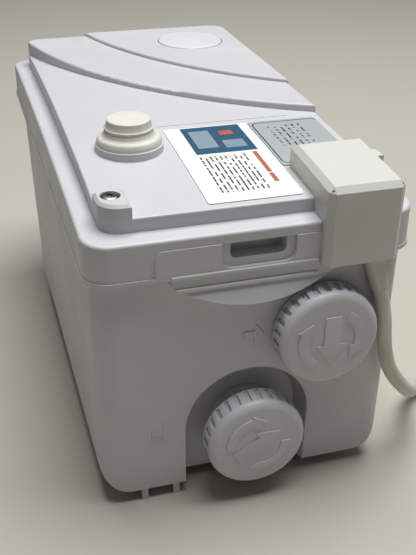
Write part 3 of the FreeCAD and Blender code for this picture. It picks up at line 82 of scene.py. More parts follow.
def coil_place(turn):
    middle = 0.5 * coil_turns
    radius = coil_inner + coil_pitch * abs(turn - middle)
    climb = min(max(turn - middle + 0.5 * climb_turns, 0.0), climb_turns) / climb_turns
    angle = coil_start - 2.0 * math.pi * turn
    x = coil_centre[0] + radius * math.cos(angle)
    y = coil_centre[1] + radius * math.sin(angle)
    return Vector((x, y, cord_radius + coil_rise * climb))


cord_line = [Vector(p) for p in cord_hang]
lead_in = (coil_place(0.001) - coil_place(0.0)).normalized()
cord_line.append(coil_place(0.0) - lead_in * straight_long)
cord_line.append(coil_place(0.0) - lead_in * straight_short)
count = int(coil_turns * coil_points)
for i in range(count + 1):
    cord_line.append(coil_place(i / coil_points))
lead_out = (coil_place(coil_turns) - coil_place(coil_turns - 0.001)).normalized()
plug_start = coil_place(coil_turns) + lead_out * straight_short
cord_line.append(plug_start)

cord_data = bpy.data.curves.new("mains_cord", "CURVE")
cord_data.dimensions = "3D"
spline = cord_data.splines.new("NURBS")
spline.points.add(len(cord_line) - 1)
for point, place in zip(spline.points, cord_line):
    point.co = (*place, 1.0)
spline.order_u = 3
spline.use_endpoint_u = True
spline.resolution_u = 10
cord_data.bevel_depth = cord_radius
cord_data.bevel_resolution = 8
cord_data.use_fill_caps = True
cord = bpy.data.objects.new("mains_cord", cord_data)
bpy.context.scene.collection.objects.link(cord)


# The cord's sheath: extruded soft PVC. It is a warm off-white with a dull satin skin that
# is slightly uneven from the die, and a little grubby where it has been handled.
def linear(colour):
    parts = [int(colour[i:i + 2], 16) / 255.0 for i in (1, 3, 5)]
    return [p / 12.92 if p <= 0.04045 else ((p + 0.055) / 1.055) ** 2.4 for p in parts] + [1.0]


def add(tree, kind, inputs, **settings):
    made = tree.nodes.new("ShaderNode" + kind)
    for name, value in settings.items():
        setattr(made, name, value)
    for socket, value in inputs.items():
        if isinstance(value, bpy.types.NodeSocket):
            tree.links.new(value, made.inputs[socket])
        else:
            made.inputs[socket].default_value = value
    return made


def start_material(name, roughness, ior):
    material = bpy.data.materials.new(name)
    material.use_nodes = True
    tree = material.node_tree
    shader = tree.nodes["Principled BSDF"]
    shader.inputs["Roughness"].default_value = roughness
    shader.inputs["IOR"].default_value = ior
    return material, tree, shader


def per_metre(size_mm):
    return 1000.0 / size_mm


def clouded(tree, place, colour, stain, size_mm, strength):
    cloud = add(tree, "TexNoise", {"Vector": place, "Scale": per_metre(size_mm), "Detail": 4.0})
    share = add(tree, "MapRange", {
        "Value": cloud.outputs["Fac"], "From Min": 0.42, "From Max": 0.75,
        "To Min": 0.0, "To Max": strength,
    })
    mixed = add(tree, "Mix", {0: share.outputs["Result"], 6: linear(colour), 7: linear(stain)},
                data_type="RGBA")
    return mixed.outputs[2]


def spread(tree, place, size_mm, low, high):
    patch = add(tree, "TexNoise", {"Vector": place, "Scale": per_metre(size_mm), "Detail": 3.0})
    level = add(tree, "MapRange", {
        "Value": patch.outputs["Fac"], "From Min": 0.3, "From Max": 0.7,
        "To Min": low, "To Max": high,
    })
    return level.outputs["Result"]


def dressed(node, material):
    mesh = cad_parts[node].data
    mesh.materials.clear()
    mesh.materials.append(material)


def sheath(name, colour, stain, roughness):
    material, tree, shader = start_material(name, roughness, ior=1.52)
    place = add(tree, "TexCoord", {}).outputs["Object"]
    grime = clouded(tree, place, colour, stain, size_mm=28.0, strength=0.55)
    tree.links.new(grime, shader.inputs["Base Color"])
    gloss = spread(tree, place, size_mm=12.0, low=roughness - 0.06, high=roughness + 0.08)
    tree.links.new(gloss, shader.inputs["Roughness"])
    skin = add(tree, "TexNoise", {"Vector": place, "Scale": per_metre(0.9), "Detail": 2.0})
    bump = add(tree, "Bump", {"Height": skin.outputs["Fac"], "Strength": 0.25, "Distance": 0.0001})
    tree.links.new(bump.outputs["Normal"], shader.inputs["Normal"])
    return material


pvc_sheath = sheath("extruded_pvc_sheath", "#c9c9bd", "#aeac9c", roughness=0.48)
cord_data.materials.append(pvc_sheath)
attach(cord, "root")
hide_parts("power_cord", "cord_coil")


# Floor and light: a plain pale floor, one broad soft lamp overhead, a little to the right of
# the pump, and a faint pale sky that is brightest straight above.
floor_width = 24.0
lamp_place = (0.26, 0.02, 1.95)
lamp_target = Vector((0.0, 0.0, 0.12))
bpy.ops.mesh.primitive_plane_add(size=floor_width, location=(0.0, 0.0, 0.0))
floor = bpy.context.active_object
floor.name = "floor"
paint, paint_tree, paint_shader = start_material("pale_painted_floor", roughness=0.85, ior=1.45)
paint_shader.inputs["Base Color"].default_value = linear("#bab8ac")
floor.data.materials.append(paint)

lamp_data = bpy.data.lights.new("lamp_above", "AREA")
lamp_data.shape = "SQUARE"
lamp_data.size = 1.3
lamp_data.energy = 48.0
lamp = bpy.data.objects.new("lamp_above", lamp_data)
bpy.context.scene.collection.objects.link(lamp)
lamp.location = lamp_place
aim = lamp_target - lamp.location
lamp.rotation_euler = aim.to_track_quat("-Z", "Y").to_euler()

world = bpy.data.worlds.new("studio")
bpy.context.scene.world = world
world.use_nodes = True
sky = world.node_tree.nodes["Background"]
sky.inputs["Color"].default_value = linear("#e9eaee")
sky_tree = world.node_tree
sky_place = add(sky_tree, "TexCoord", {}).outputs["Generated"]
sky_way = add(sky_tree, "SeparateXYZ", {0: sky_place})
sky_level = add(sky_tree, "MapRange", {
    "Value": sky_way.outputs["Z"], "From Min": 0.0, "From Max": 1.0,
    "To Min": 0.02, "To Max": 0.20,
})
sky_tree.links.new(sky_level.outputs["Result"], sky.inputs["Strength"])


# Housing: tank and lid are injection moulded in polypropylene, a cool light grey with a
# satin spark-eroded skin and a soft break along every edge. The grain of that skin is
# drawn coarser than it is, so that it shows.
def moulded(name, colour, stain, roughness, grain_mm, edge_mm):
    material, tree, shader = start_material(name, roughness, ior=1.49)
    place = add(tree, "TexCoord", {}).outputs["Object"]
    tint = clouded(tree, place, colour, stain, size_mm=70.0, strength=0.5)
    tree.links.new(tint, shader.inputs["Base Color"])
    gloss = spread(tree, place, size_mm=35.0, low=roughness - 0.05, high=roughness + 0.07)
    tree.links.new(gloss, shader.inputs["Roughness"])
    grain = add(tree, "TexNoise", {"Vector": place, "Scale": per_metre(grain_mm), "Detail": 2.0})
    broken = add(tree, "Bevel", {"Radius": 0.001 * edge_mm}, samples=6)
    bump = add(tree, "Bump", {
        "Height": grain.outputs["Fac"], "Strength": 0.18, "Distance": 0.00006,
        "Normal": broken.outputs["Normal"],
    })
    tree.links.new(bump.outputs["Normal"], shader.inputs["Normal"])
    return material


polypropylene = moulded("moulded_polypropylene", "#c8c7cb", "#bfbec2", roughness=0.42,
                        grain_mm=0.7, edge_mm=0.4)
for node in ("tank", "tank_collar", "inlet_recess", "upper_inlet_neck", "lower_inlet_neck",
             "lid"):
    dressed(node, polypropylene)


# Feet: four pads of black rubber pressed into the underside of the tank. Seals, washers
# and flaps inside are the same compound, which is dull, with a faint grey bloom.
def rubber(name, colour, stain, roughness):
    material, tree, shader = start_material(name, roughness, ior=1.52)
    place = add(tree, "TexCoord", {}).outputs["Object"]
    bloom = clouded(tree, place, colour, stain, size_mm=9.0, strength=0.6)
    tree.links.new(bloom, shader.inputs["Base Color"])
    skin = add(tree, "TexNoise", {"Vector": place, "Scale": per_metre(0.8), "Detail": 3.0})
    bump = add(tree, "Bump", {"Height": skin.outputs["Fac"], "Strength": 0.4, "Distance": 0.00008})
    tree.links.new(bump.outputs["Normal"], shader.inputs["Normal"])
    return material


black_rubber = rubber("moulded_nitrile_rubber", "#1d1d1e", "#333231", roughness=0.72)
for node in ("feet", "lid_gasket", "upper_washer", "lower_washer", "upper_flap", "lower_flap",
             "check_flap", "diaphragm", "shaft_seal"):
    dressed(node, black_rubber)


# Control box: a cover and a base plate, screwed together from below, and the terminal
# block inside. All are moulded in ABS, a warmer white than the tank, with a smooth satin
# skin and well broken edges.
abs_white = moulded("moulded_abs", "#cecec9", "#c3c2ba", roughness=0.40, grain_mm=0.9,
                    edge_mm=0.8)
for node in ("box_cover", "box_base", "terminal_block"):
    dressed(node, abs_white)


# First label: white polyester film, printed and stuck on the lid. It has a satin face with
# a blue panel, three small blocks, rows of broken rules and a broken red bar.
row_jump = 7.3


def between(tree, value, low_mm, high_mm):
    middle = 0.0005 * (low_mm + high_mm)
    half = 0.0005 * (high_mm - low_mm)
    inside = add(tree, "Math", {0: value, 1: middle, 2: half}, operation="COMPARE")
    return inside.outputs["Value"]


def both(tree, one, other):
    return add(tree, "Math", {0: one, 1: other}, operation="MULTIPLY").outputs["Value"]


def printed(tree, under, mask, ink):
    return add(tree, "Mix", {0: mask, 6: under, 7: linear(ink)}, data_type="RGBA").outputs[2]


def block_mask(tree, x, y, x0_mm, x1_mm, y0_mm, y1_mm):
    return both(tree, between(tree, x, x0_mm, x1_mm), between(tree, y, y0_mm, y1_mm))


def ruled(tree, x, y, x0_mm, rows, pitch_mm, rule_mm, y0_mm, y1_mm, dash_mm, share):
    rest = add(tree, "Math", {0: x, 1: 0.001 * x0_mm}, operation="SUBTRACT")
    count = add(tree, "Math", {0: rest.outputs["Value"], 1: 0.001 * pitch_mm}, operation="DIVIDE")
    row = add(tree, "Math", {0: count.outputs["Value"]}, operation="FLOOR")
    part = add(tree, "Math", {0: count.outputs["Value"]}, operation="FRACT")
    half_rule = 0.5 * rule_mm / pitch_mm
    rule = add(tree, "Math", {0: part.outputs["Value"], 1: 0.5, 2: half_rule}, operation="COMPARE")
    run = add(tree, "Math", {0: y, 1: per_metre(dash_mm)}, operation="MULTIPLY")
    # Each row is broken at places of its own
    jump = add(tree, "Math", {0: row.outputs["Value"], 1: row_jump}, operation="MULTIPLY")
    spot = add(tree, "CombineXYZ", {"X": jump.outputs["Value"], "Y": run.outputs["Value"]})
    broken = add(tree, "TexNoise", {"Vector": spot.outputs["Vector"], "Scale": 1.0, "Detail": 1.0})
    dash = add(tree, "Math", {0: broken.outputs["Fac"], 1: 1.0 - share}, operation="GREATER_THAN")
    inked = both(tree, rule.outputs["Value"], dash.outputs["Value"])
    area = block_mask(tree, x, y, x0_mm, x0_mm + rows * pitch_mm, y0_mm, y1_mm)
    return both(tree, inked, area)


film, film_tree, film_shader = start_material("printed_polyester_film", roughness=0.48, ior=1.50)
film_place = add(film_tree, "TexCoord", {}).outputs["Object"]
film_axes = add(film_tree, "SeparateXYZ", {0: film_place})
film_x = film_axes.outputs["X"]
film_y = film_axes.outputs["Y"]
film_ink = clouded(film_tree, film_place, "#e9ebe5", "#e2e4dc", size_mm=22.0, strength=0.5)
film_blocks = [
    ((-14.0, 26.5, -98.7, -55.7), "#24506b"), ((-10.0, 3.5, -90.0, -62.0), "#81939f"),
    ((8.0, 22.0, -92.0, -80.0), "#7a8f9d"), ((10.0, 19.0, -71.0, -64.5), "#b4574a"),
]
for edges_mm, ink in film_blocks:
    film_block = block_mask(film_tree, film_x, film_y, *edges_mm)
    film_ink = printed(film_tree, film_ink, film_block, ink)
film_rules = ruled(film_tree, film_x, film_y, x0_mm=-14.5, rows=10, pitch_mm=3.15, rule_mm=1.25,
                   y0_mm=-151.0, y1_mm=-102.5, dash_mm=3.2, share=0.56)
film_ink = printed(film_tree, film_ink, film_rules, "#4e5252")
film_bar = ruled(film_tree, film_x, film_y, x0_mm=20.3, rows=1, pitch_mm=5.4, rule_mm=3.0,
                 y0_mm=-144.0, y1_mm=-101.0, dash_mm=4.6, share=0.60)
film_ink = printed(film_tree, film_ink, film_bar, "#a8624f")
film_tree.links.new(film_ink, film_shader.inputs["Base Color"])
dressed("white_label", film)


# Second label: aluminium foil, stuck on beside the first. It is brushed, which gives faint
# streaks along the pump, and has a thin dark border and rows of broken rules.
foil, foil_tree, foil_shader = start_material("brushed_aluminium_foil", roughness=0.50, ior=1.5)
foil_shader.inputs["Metallic"].default_value = 0.35
foil_place = add(foil_tree, "TexCoord", {}).outputs["Object"]
foil_axes = add(foil_tree, "SeparateXYZ", {0: foil_place})
foil_x = foil_axes.outputs["X"]
foil_y = foil_axes.outputs["Y"]
stretch = add(foil_tree, "Mapping", {"Vector": foil_place, "Scale": (1.0, 0.04, 1.0)})
brushing = add(foil_tree, "TexNoise", {
    "Vector": stretch.outputs["Vector"], "Scale": per_metre(0.5), "Detail": 3.0,
})
tone = add(foil_tree, "Mix", {
    0: brushing.outputs["Fac"], 6: linear("#a4a9a9"), 7: linear("#b9bebe"),
}, data_type="RGBA")
border_centre = (0.0590, -0.0900, 0.0)
border_half = (0.0185, 0.0275, 1.0)
border_corner = 0.005
border_thin = 0.00045


def border_mask(tree, x, y):
    flat = add(tree, "CombineXYZ", {"X": x, "Y": y}).outputs["Vector"]
    off = add(tree, "VectorMath", {0: flat, 1: border_centre}, operation="SUBTRACT")
    folded = add(tree, "VectorMath", {0: off.outputs["Vector"]}, operation="ABSOLUTE")
    past = add(tree, "VectorMath", {0: folded.outputs["Vector"], 1: border_half},
               operation="SUBTRACT")
    outside = add(tree, "VectorMath", {0: past.outputs["Vector"], 1: (0.0, 0.0, 0.0)},
                  operation="MAXIMUM")
    reach = add(tree, "VectorMath", {0: outside.outputs["Vector"]}, operation="LENGTH")
    line = add(tree, "Math", {0: reach.outputs["Value"], 1: border_corner, 2: border_thin},
               operation="COMPARE")
    return line.outputs["Value"]


border = border_mask(foil_tree, foil_x, foil_y)
foil_ink = printed(foil_tree, tone.outputs[2], border, "#33383a")
foil_rules = ruled(foil_tree, foil_x, foil_y, x0_mm=43.0, rows=6, pitch_mm=4.3, rule_mm=1.3,
                   y0_mm=-98.0, y1_mm=-64.0, dash_mm=2.6, share=0.50)
foil_ink = printed(foil_tree, foil_ink, foil_rules, "#3d4143")
foil_tree.links.new(foil_ink, foil_shader.inputs["Base Color"])
dressed("grey_label", foil)


# Metals and inner pieces: turned aluminium, steel and brass, which shine in fine rings, and
# dull black glass-filled nylon for the pump end. From outside only the screws, the plug's
# two pins and the strain relief show.
def turned_metal(name, colour, dark, roughness, line_mm):
    material, tree, shader = start_material(name, roughness, ior=1.5)
    shader.inputs["Metallic"].default_value = 1.0
    place = add(tree, "TexCoord", {}).outputs["Object"]
    rings = add(tree, "Mapping", {"Vector": place, "Scale": (0.05, 0.05, 1.0)})
    line = add(tree, "TexNoise", {
        "Vector": rings.outputs["Vector"], "Scale": per_metre(line_mm), "Detail": 2.0,
    })
    mixed = add(tree, "Mix", {0: line.outputs["Fac"], 6: linear(colour), 7: linear(dark)},
                data_type="RGBA")
    tree.links.new(mixed.outputs[2], shader.inputs["Base Color"])
    gloss = spread(tree, place, size_mm=4.0, low=roughness - 0.06, high=roughness + 0.08)
    tree.links.new(gloss, shader.inputs["Roughness"])
    return material


turned_aluminium = turned_metal("turned_aluminium", "#b9babb", "#8f9091", roughness=0.34,
                                line_mm=0.6)
bright_steel = turned_metal("ground_bearing_steel", "#a9a8a6", "#7d7c7a", roughness=0.24,
                            line_mm=0.4)
zinc_steel = turned_metal("zinc_plated_steel", "#b8b6b0", "#8a8780", roughness=0.30,
                          line_mm=0.5)
lamination = turned_metal("laminated_core_steel", "#5c5752", "#37322d", roughness=0.5,
                          line_mm=0.5)
nickel_brass = turned_metal("nickel_plated_brass", "#c9c3ae", "#a89f84", roughness=0.22,
                            line_mm=0.5)
nylon = moulded("glass_filled_nylon", "#3a3b3d", "#2c2d2f", roughness=0.5, grain_mm=0.5,
                edge_mm=0.3)
carbon_foam = rubber("activated_carbon_foam", "#131313", "#262524", roughness=0.95)
dressed("motor_housing", turned_aluminium)
dressed("stator", lamination)
dressed("charcoal_filter", carbon_foam)
dressed("plug_pins", nickel_brass)
for node in ("rotor_shaft", "upper_bearing", "lower_bearing"):
    dressed(node, bright_steel)
for node in ("lid_screws", "box_screws", "motor_screws", "upper_flap_pin", "lower_flap_pin",
             "check_pin"):
    dressed(node, zinc_steel)
for node in ("volute", "impeller", "strainer", "discharge_pipe", "valve_body", "pressure_tube",
             "switch_housing", "switch_plunger", "capacitor"):
    dressed(node, nylon)
for node in ("mains_lead", "motor_lead", "cord_gland"):
    dressed(node, pvc_sheath)


# Discharge boot: a moulded sleeve of satin white rubber with steps for pipes of three
# sizes. It sits on the round collar of the lid, with a lip round its foot and a closed top.
def extruded(step):
    bpy.ops.mesh.extrude_region_move(TRANSFORM_OT_translate={"value": step})


def drawn_line(points):
    bpy.ops.mesh.primitive_plane_add(size=0.001)
    piece = bpy.context.active_object
    bpy.ops.object.mode_set(mode="EDIT")
    bpy.ops.mesh.select_mode(type="VERT")
    bpy.ops.mesh.select_all(action="SELECT")
    bpy.ops.mesh.merge(type="CENTER")
    bpy.ops.transform.translate(value=points[0])
    for before, after in zip(points, points[1:]):
        extruded(Vector(after) - Vector(before))
    return piece


def closed():
    bpy.ops.mesh.select_all(action="SELECT")
    bpy.ops.mesh.remove_doubles(threshold=0.000002)
    bpy.ops.mesh.normals_make_consistent(inside=False)
    bpy.ops.object.mode_set(mode="OBJECT")


def turned_piece(name, centre, profile, steps):
    points = [(centre[0] + radius, centre[1], height) for radius, height in profile]
    piece = drawn_line(points)
    piece.name = name
    bpy.ops.mesh.select_all(action="SELECT")
    bpy.ops.mesh.spin(steps=steps, angle=2.0 * math.pi, center=(centre[0], centre[1], 0.0),
                      axis=(0.0, 0.0, 1.0))
    closed()
    return piece


smooth_angle = math.radians(40.0)


def rounded(piece, width, segments, angle):
    bevel = piece.modifiers.new("rounding", "BEVEL")
    bevel.width = width
    bevel.segments = segments
    bevel.limit_method = "ANGLE"
    bevel.angle_limit = math.radians(angle)
    bpy.ops.object.modifier_apply(modifier=bevel.name)
    bpy.ops.object.shade_smooth_by_angle(angle=smooth_angle)


boot_centre = (-0.0523, -0.0771)
collar_top = 0.2092
boot_top = 0.2260
boot_profile = [
    (0.0127, collar_top - 0.0085), (0.0147, collar_top - 0.0085), (0.0147, collar_top),
    (0.0215, collar_top), (0.0216, collar_top + 0.0005), (0.0210, collar_top + 0.0009),
    (0.0207, collar_top + 0.0011), (0.0208, collar_top + 0.0028), (0.0200, collar_top + 0.0049),
    (0.0190, collar_top + 0.0057), (0.0176, collar_top + 0.0061), (0.0163, collar_top + 0.0072),
    (0.0159, collar_top + 0.0084), (0.0151, collar_top + 0.0096), (0.0151, collar_top + 0.0104),
    (0.0157, collar_top + 0.0109), (0.0155, collar_top + 0.0115), (0.0148, collar_top + 0.0119),
    (0.0139, boot_top - 0.0016), (0.0139, boot_top - 0.0004), (0.0131, boot_top),
    (0.0, boot_top), (0.0, boot_top - 0.0022), (0.0112, boot_top - 0.0022),
    (0.0127, collar_top + 0.0090), (0.0127, collar_top - 0.0085),
]
white_rubber = rubber("moulded_white_rubber", "#d4d4ca", "#c8c7bb", roughness=0.62)
boot = turned_piece("boot", boot_centre, boot_profile, steps=96)
rounded(boot, width=0.00018, segments=2, angle=18.0)
boot.data.materials.append(white_rubber)
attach(boot, "root")
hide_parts("stepped_boot")


# Vent disc: a moulded polypropylene disc let into the lid's top step, a shade paler than
# the lid. It has a fine groove inside its edge and a thin collar below that holds it.
vent_centre = (0.0460, 0.1333)
vent_seat = 0.2118
vent_face = 0.2157
vent_profile = [
    (0.0190, vent_seat - 0.0090), (0.0209, vent_seat - 0.0090), (0.0209, vent_seat),
    (0.0270, vent_seat), (0.0270, vent_face - 0.0008), (0.0262, vent_face - 0.0001),
    (0.0240, vent_face), (0.0236, vent_face - 0.0002), (0.0232, vent_face), (0.0, vent_face),
    (0.0, vent_seat + 0.0006), (0.0190, vent_seat + 0.0006), (0.0190, vent_seat - 0.0090),
]
vent_plastic = moulded("moulded_vent_polypropylene", "#d2d3d6", "#c9cacd", roughness=0.40,
                       grain_mm=0.7, edge_mm=0.3)
vent = turned_piece("vent_disc", vent_centre, vent_profile, steps=96)
rounded(vent, width=0.00015, segments=2, angle=25.0)
vent.data.materials.append(vent_plastic)
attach(vent, "root")
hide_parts("vent_cap")


# Lid screws: zinc plated steel with a domed head and a cross recess. The left one is sunk in
# the lid's tower, the right one below the control box. The cross recess is painted near black, as
# painted shade.
cross_size = (0.0066, 0.0013, 0.0044)
cross_height = 0.0031
cross_taper = 0.6
cross_turn = 25.0


def cross_cut(piece, dark):
    for angle in (cross_turn, cross_turn + 90.0):
        bpy.ops.mesh.primitive_cube_add(size=1.0, location=(0.0, 0.0, cross_height))
        blade = bpy.context.active_object
        blade.scale = cross_size
        blade.rotation_euler = (0.0, 0.0, math.radians(angle))
        bpy.ops.object.transform_apply(location=True, rotation=True, scale=True)
        bpy.ops.object.mode_set(mode="EDIT")
        sheet = bmesh.from_edit_mesh(blade.data)
        for face in sheet.faces:
            face.select_set(face.normal.z < -0.9)
        bmesh.update_edit_mesh(blade.data)
        bpy.ops.transform.resize(value=(cross_taper, cross_taper, 1.0),
                                 center_override=(0.0, 0.0, 0.0))
        bpy.ops.object.mode_set(mode="OBJECT")
        blade.data.materials.append(dark)
        cut = piece.modifiers.new("recess", "BOOLEAN")
        cut.object = blade
        cut.operation = "DIFFERENCE"
        cut.material_mode = "TRANSFER"
        bpy.context.view_layer.objects.active = piece
        bpy.ops.object.modifier_apply(modifier=cut.name)
        bpy.data.objects.remove(blade)


def placed_copy(pattern, name, place):
    piece = pattern.copy()
    piece.data = pattern.data.copy()
    piece.data.transform(place)
    piece.name = name
    bpy.context.scene.collection.objects.link(piece)
    return piece


def joined(pieces):
    bpy.ops.object.select_all(action="DESELECT")
    for piece in pieces:
        piece.select_set(True)
    bpy.context.view_layer.objects.active = pieces[0]
    bpy.ops.object.join()
    return pieces[0]


# Painted shade: the cut faces of the cross recess take this near-black colour, which stands in for
# the shade inside it.
recess_shade, recess_shade_tree, recess_shade_shader = start_material("painted_shade_in_screw_recess", roughness=0.8,
                                                     ior=1.45)
recess_shade_place = add(recess_shade_tree, "TexCoord", {}).outputs["Object"]
recess_shade_ink = clouded(recess_shade_tree, recess_shade_place, "#2a2926", "#4a4843", size_mm=1.5, strength=0.7)
recess_shade_tree.links.new(recess_shade_ink, recess_shade_shader.inputs["Base Color"])
head_profile = [
    (0.0, -0.0260), (0.0018, -0.0260), (0.0024, -0.0240), (0.0024, 0.0), (0.0053, 0.0),
    (0.0054, 0.0012), (0.0050, 0.0020), (0.0038, 0.0025), (0.0, 0.0027),
]
screw_places = [(-0.0792, -0.1517, 0.2068), (0.0770, -0.1377, 0.20055)]
screw = turned_piece("lid_screw", (0.0, 0.0), head_profile, steps=48)
rounded(screw, width=0.00012, segments=2, angle=30.0)
screw.data.materials.append(zinc_steel)
cross_cut(screw, recess_shade)
lid_screws = joined([
    placed_copy(screw, "lid_screw_pair", Matrix.Translation(place)) for place in screw_places
])
bpy.data.objects.remove(screw)
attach(lid_screws, "root")
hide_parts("lid_screws")


# Plug: a two pin plug moulded on the cord in soft white PVC, with flats above and below
# and a ribbed boot that keeps the cord from kinking.
plug_ribs = 6
rib_start = 0.0030
rib_pitch = 0.0044
rib_growth = 0.00042
sleeve_radius = 0.0060
plug_flat = 0.0148
pin_spread = 0.0095
pin_hole_radius = 0.0021
pin_hole_depth = 0.0120
pin_hole_middle = 0.0620
plug_profile = [(0.0, 0.0), (sleeve_radius, 0.0)]
for i in range(plug_ribs):
    along = rib_start + rib_pitch * i
    around = sleeve_radius + rib_growth * i
    plug_profile += [
        (around, along), (around - 0.0007, along + 0.0006),
        (around - 0.0006, along + 0.0024), (around + 0.0003, along + 0.0030),
    ]
plug_profile += [
    (0.0085, 0.0300), (0.0120, 0.0345), (0.0172, 0.0410), (0.0184, 0.0450), (0.0184, 0.0640),
    (0.0176, 0.0660), (0.0, 0.0660),
]
plug_vinyl = sheath("moulded_plug_vinyl", "#d8d8cf", "#c5c4b8", roughness=0.42)
plug = turned_piece("plug", (0.0, 0.0), plug_profile, steps=64)
bpy.ops.object.mode_set(mode="EDIT")
for side in (-1.0, 1.0):
    bpy.ops.mesh.select_all(action="SELECT")
    bpy.ops.mesh.bisect(plane_co=(side * plug_flat, 0.0, 0.0), plane_no=(side, 0.0, 0.0),
                        use_fill=True, clear_outer=True)
bpy.ops.object.mode_set(mode="OBJECT")
rounded(plug, width=0.0004, segments=3, angle=30.0)
for side in (-1.0, 1.0):
    bpy.ops.mesh.primitive_cylinder_add(vertices=32, radius=pin_hole_radius, depth=pin_hole_depth,
                                        location=(0.0, side * pin_spread, pin_hole_middle))
    drill = bpy.context.active_object
    hole = plug.modifiers.new("pin_hole", "BOOLEAN")
    hole.object = drill
    hole.operation = "DIFFERENCE"
    bpy.context.view_layer.objects.active = plug
    bpy.ops.object.modifier_apply(modifier=hole.name)
    bpy.data.objects.remove(drill)
bpy.ops.object.select_all(action="DESELECT")
plug.select_set(True)
bpy.context.view_layer.objects.active = plug
facing = Vector((lead_out.x, lead_out.y, 0.0)).normalized()
upright = Matrix((
    (0.0, facing.y, facing.x), (0.0, -facing.x, facing.y), (1.0, 0.0, 0.0),
)).to_4x4()
plug.matrix_world = Matrix.Translation(plug_start) @ upright
bpy.ops.object.transform_apply(location=True, rotation=True, scale=True)
plug.data.materials.append(plug_vinyl)
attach(plug, "root")
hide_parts("plug_body")


# Screw caps: moulded polypropylene caps on the two inlets. Each has grip ribs round its
# side, a large rounding to a flat face, a socket behind, and raised arrows on the face.
def picked(piece, test):
    bpy.ops.mesh.select_mode(type="FACE")
    bpy.ops.mesh.select_all(action="DESELECT")
    sheet = bmesh.from_edit_mesh(piece.data)
    for face in sheet.faces:
        face.select_set(test(face))
    bmesh.update_edit_mesh(piece.data)


def edge_picked(piece, test):
    bpy.ops.mesh.select_mode(type="EDGE")
    bpy.ops.mesh.select_all(action="DESELECT")
    sheet = bmesh.from_edit_mesh(piece.data)
    for edge in sheet.edges:
        edge.select_set(test(edge.verts[0].co, edge.verts[1].co))
    bmesh.update_edit_mesh(piece.data)


cap_radius = 0.0320
cap_front = -0.1927
cap_depth = 0.0160
cap_wall = 0.0032
cap_socket = 0.0240
cap_rounding = 0.0050
cap_ribs = 28
rib_faces = 8
gap_faces = 4
gap_depth = 0.0016
groove_back = 0.0009
mark_height = 0.0009
mark_root = 0.0002
arrow_half = 0.0050
arrow_top = 0.0165
arrow_shaft = 0.0195
arrow_head = 0.0135
arrow_wide = 1.90
arc_inner = 0.0152
arc_outer = 0.0216
arc_start = -20.0
arc_stop = 58.0
arc_head = 28.0
arc_wide = 1.65
shoulder = 0.0001


def cap_blank():
    back = cap_front + cap_depth
    bpy.ops.mesh.primitive_cylinder_add(vertices=cap_ribs * rib_faces, radius=cap_radius,
                                        depth=cap_depth,
                                        location=(0.0, 0.5 * (cap_front + back), 0.0),
                                        rotation=(math.radians(90.0), 0.0, 0.0))
    cap = bpy.context.active_object
    bpy.ops.object.transform_apply(location=True, rotation=True, scale=True)
    bpy.ops.object.mode_set(mode="EDIT")
    edge_picked(cap, lambda p, q: max(p.y, q.y) < cap_front + 0.0001)
    bpy.ops.mesh.bevel(offset=cap_rounding, segments=9, affect="EDGES")
    bpy.ops.mesh.select_all(action="SELECT")
    bpy.ops.mesh.bisect(plane_co=(0.0, back - groove_back, 0.0), plane_no=(0.0, 1.0, 0.0))

    def in_gap(face):
        centre = face.calc_center_median()
        beside = cap_front + cap_rounding < centre.y < back - groove_back - 0.0001
        if not beside or abs(face.normal.y) > 0.1:
            return False
        turn = math.atan2(centre.z, centre.x) / (2.0 * math.pi) % 1.0
        return int(turn * cap_ribs * rib_faces) % rib_faces < gap_faces

    picked(cap, in_gap)
    bpy.ops.mesh.extrude_region_shrink_fatten(TRANSFORM_OT_shrink_fatten={"value": -gap_depth})
    picked(cap, lambda face: face.normal.y > 0.9 and face.calc_area() > 0.001)
    bpy.ops.mesh.inset(thickness=cap_radius - cap_socket, depth=0.0)
    extruded((0.0, cap_wall - cap_depth, 0.0))
    bpy.ops.mesh.select_all(action="SELECT")
    bpy.ops.mesh.normals_make_consistent(inside=False)
    bpy.ops.object.mode_set(mode="OBJECT")
    rounded(cap, width=0.00025, segments=2, angle=40.0)
    return cap


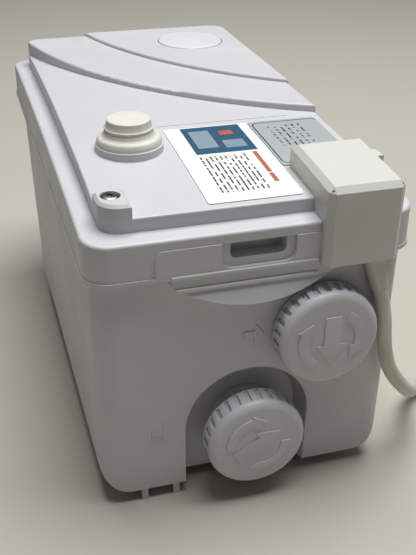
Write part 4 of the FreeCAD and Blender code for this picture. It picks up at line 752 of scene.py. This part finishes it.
def thickened(piece):
    bpy.ops.mesh.select_all(action="SELECT")
    extruded((0.0, -mark_height - mark_root, 0.0))
    closed()
    rounded(piece, width=0.0004, segments=3, angle=50.0)


def resized(width, height, centre):
    bpy.ops.transform.resize(value=(width, 1.0, height), center_override=centre)


def straight_arrow():
    centre = (0.0, cap_front + mark_root, 0.0)
    shaft = drawn_line([(side * arrow_half, centre[1], arrow_top) for side in (-1.0, 1.0)])
    bpy.ops.mesh.select_all(action="SELECT")
    extruded((0.0, 0.0, -arrow_shaft))
    extruded((0.0, 0.0, -shoulder))
    resized(arrow_wide, 1.0, centre)
    extruded((0.0, 0.0, -arrow_head))
    resized(0.0, 1.0, centre)
    thickened(shaft)
    return shaft


def curved_arrow(turn):
    centre = (0.0, cap_front + mark_root, 0.0)
    start = math.radians(turn + arc_start)
    stop = math.radians(turn + arc_stop)
    middle = 0.5 * (arc_inner + arc_outer)

    def at(radius, angle):
        return Vector((radius * math.cos(angle), centre[1], radius * math.sin(angle)))

    band = drawn_line([at(arc_inner, stop), at(arc_outer, stop)])
    bpy.ops.mesh.select_all(action="SELECT")
    bpy.ops.mesh.spin(steps=20, angle=stop - start, center=centre, axis=(0.0, -1.0, 0.0))
    here = at(middle, start)
    tip = at(middle, start - math.radians(arc_head))
    extruded(Vector((math.sin(start), 0.0, -math.cos(start))) * shoulder)
    resized(arc_wide, arc_wide, here)
    extruded(tip - here)
    resized(0.0, 0.0, tip)
    thickened(band)
    return band


cap_pattern = joined([cap_blank(), straight_arrow(), curved_arrow(0.0), curved_arrow(180.0)])
cap_pattern.data.materials.append(polypropylene)
cap_places = {"upper_cap": (0.0440, 0.1170, 0.0), "lower_cap": (0.0005, 0.0460, -122.0)}
for node, (x, z, turn) in cap_places.items():
    place = Matrix.Translation((x, 0.0, z)) @ Matrix.Rotation(math.radians(turn), 4, "Y")
    cap = placed_copy(cap_pattern, node + "_moulding", place)
    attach(cap, node)
    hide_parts(node)
bpy.data.objects.remove(cap_pattern)
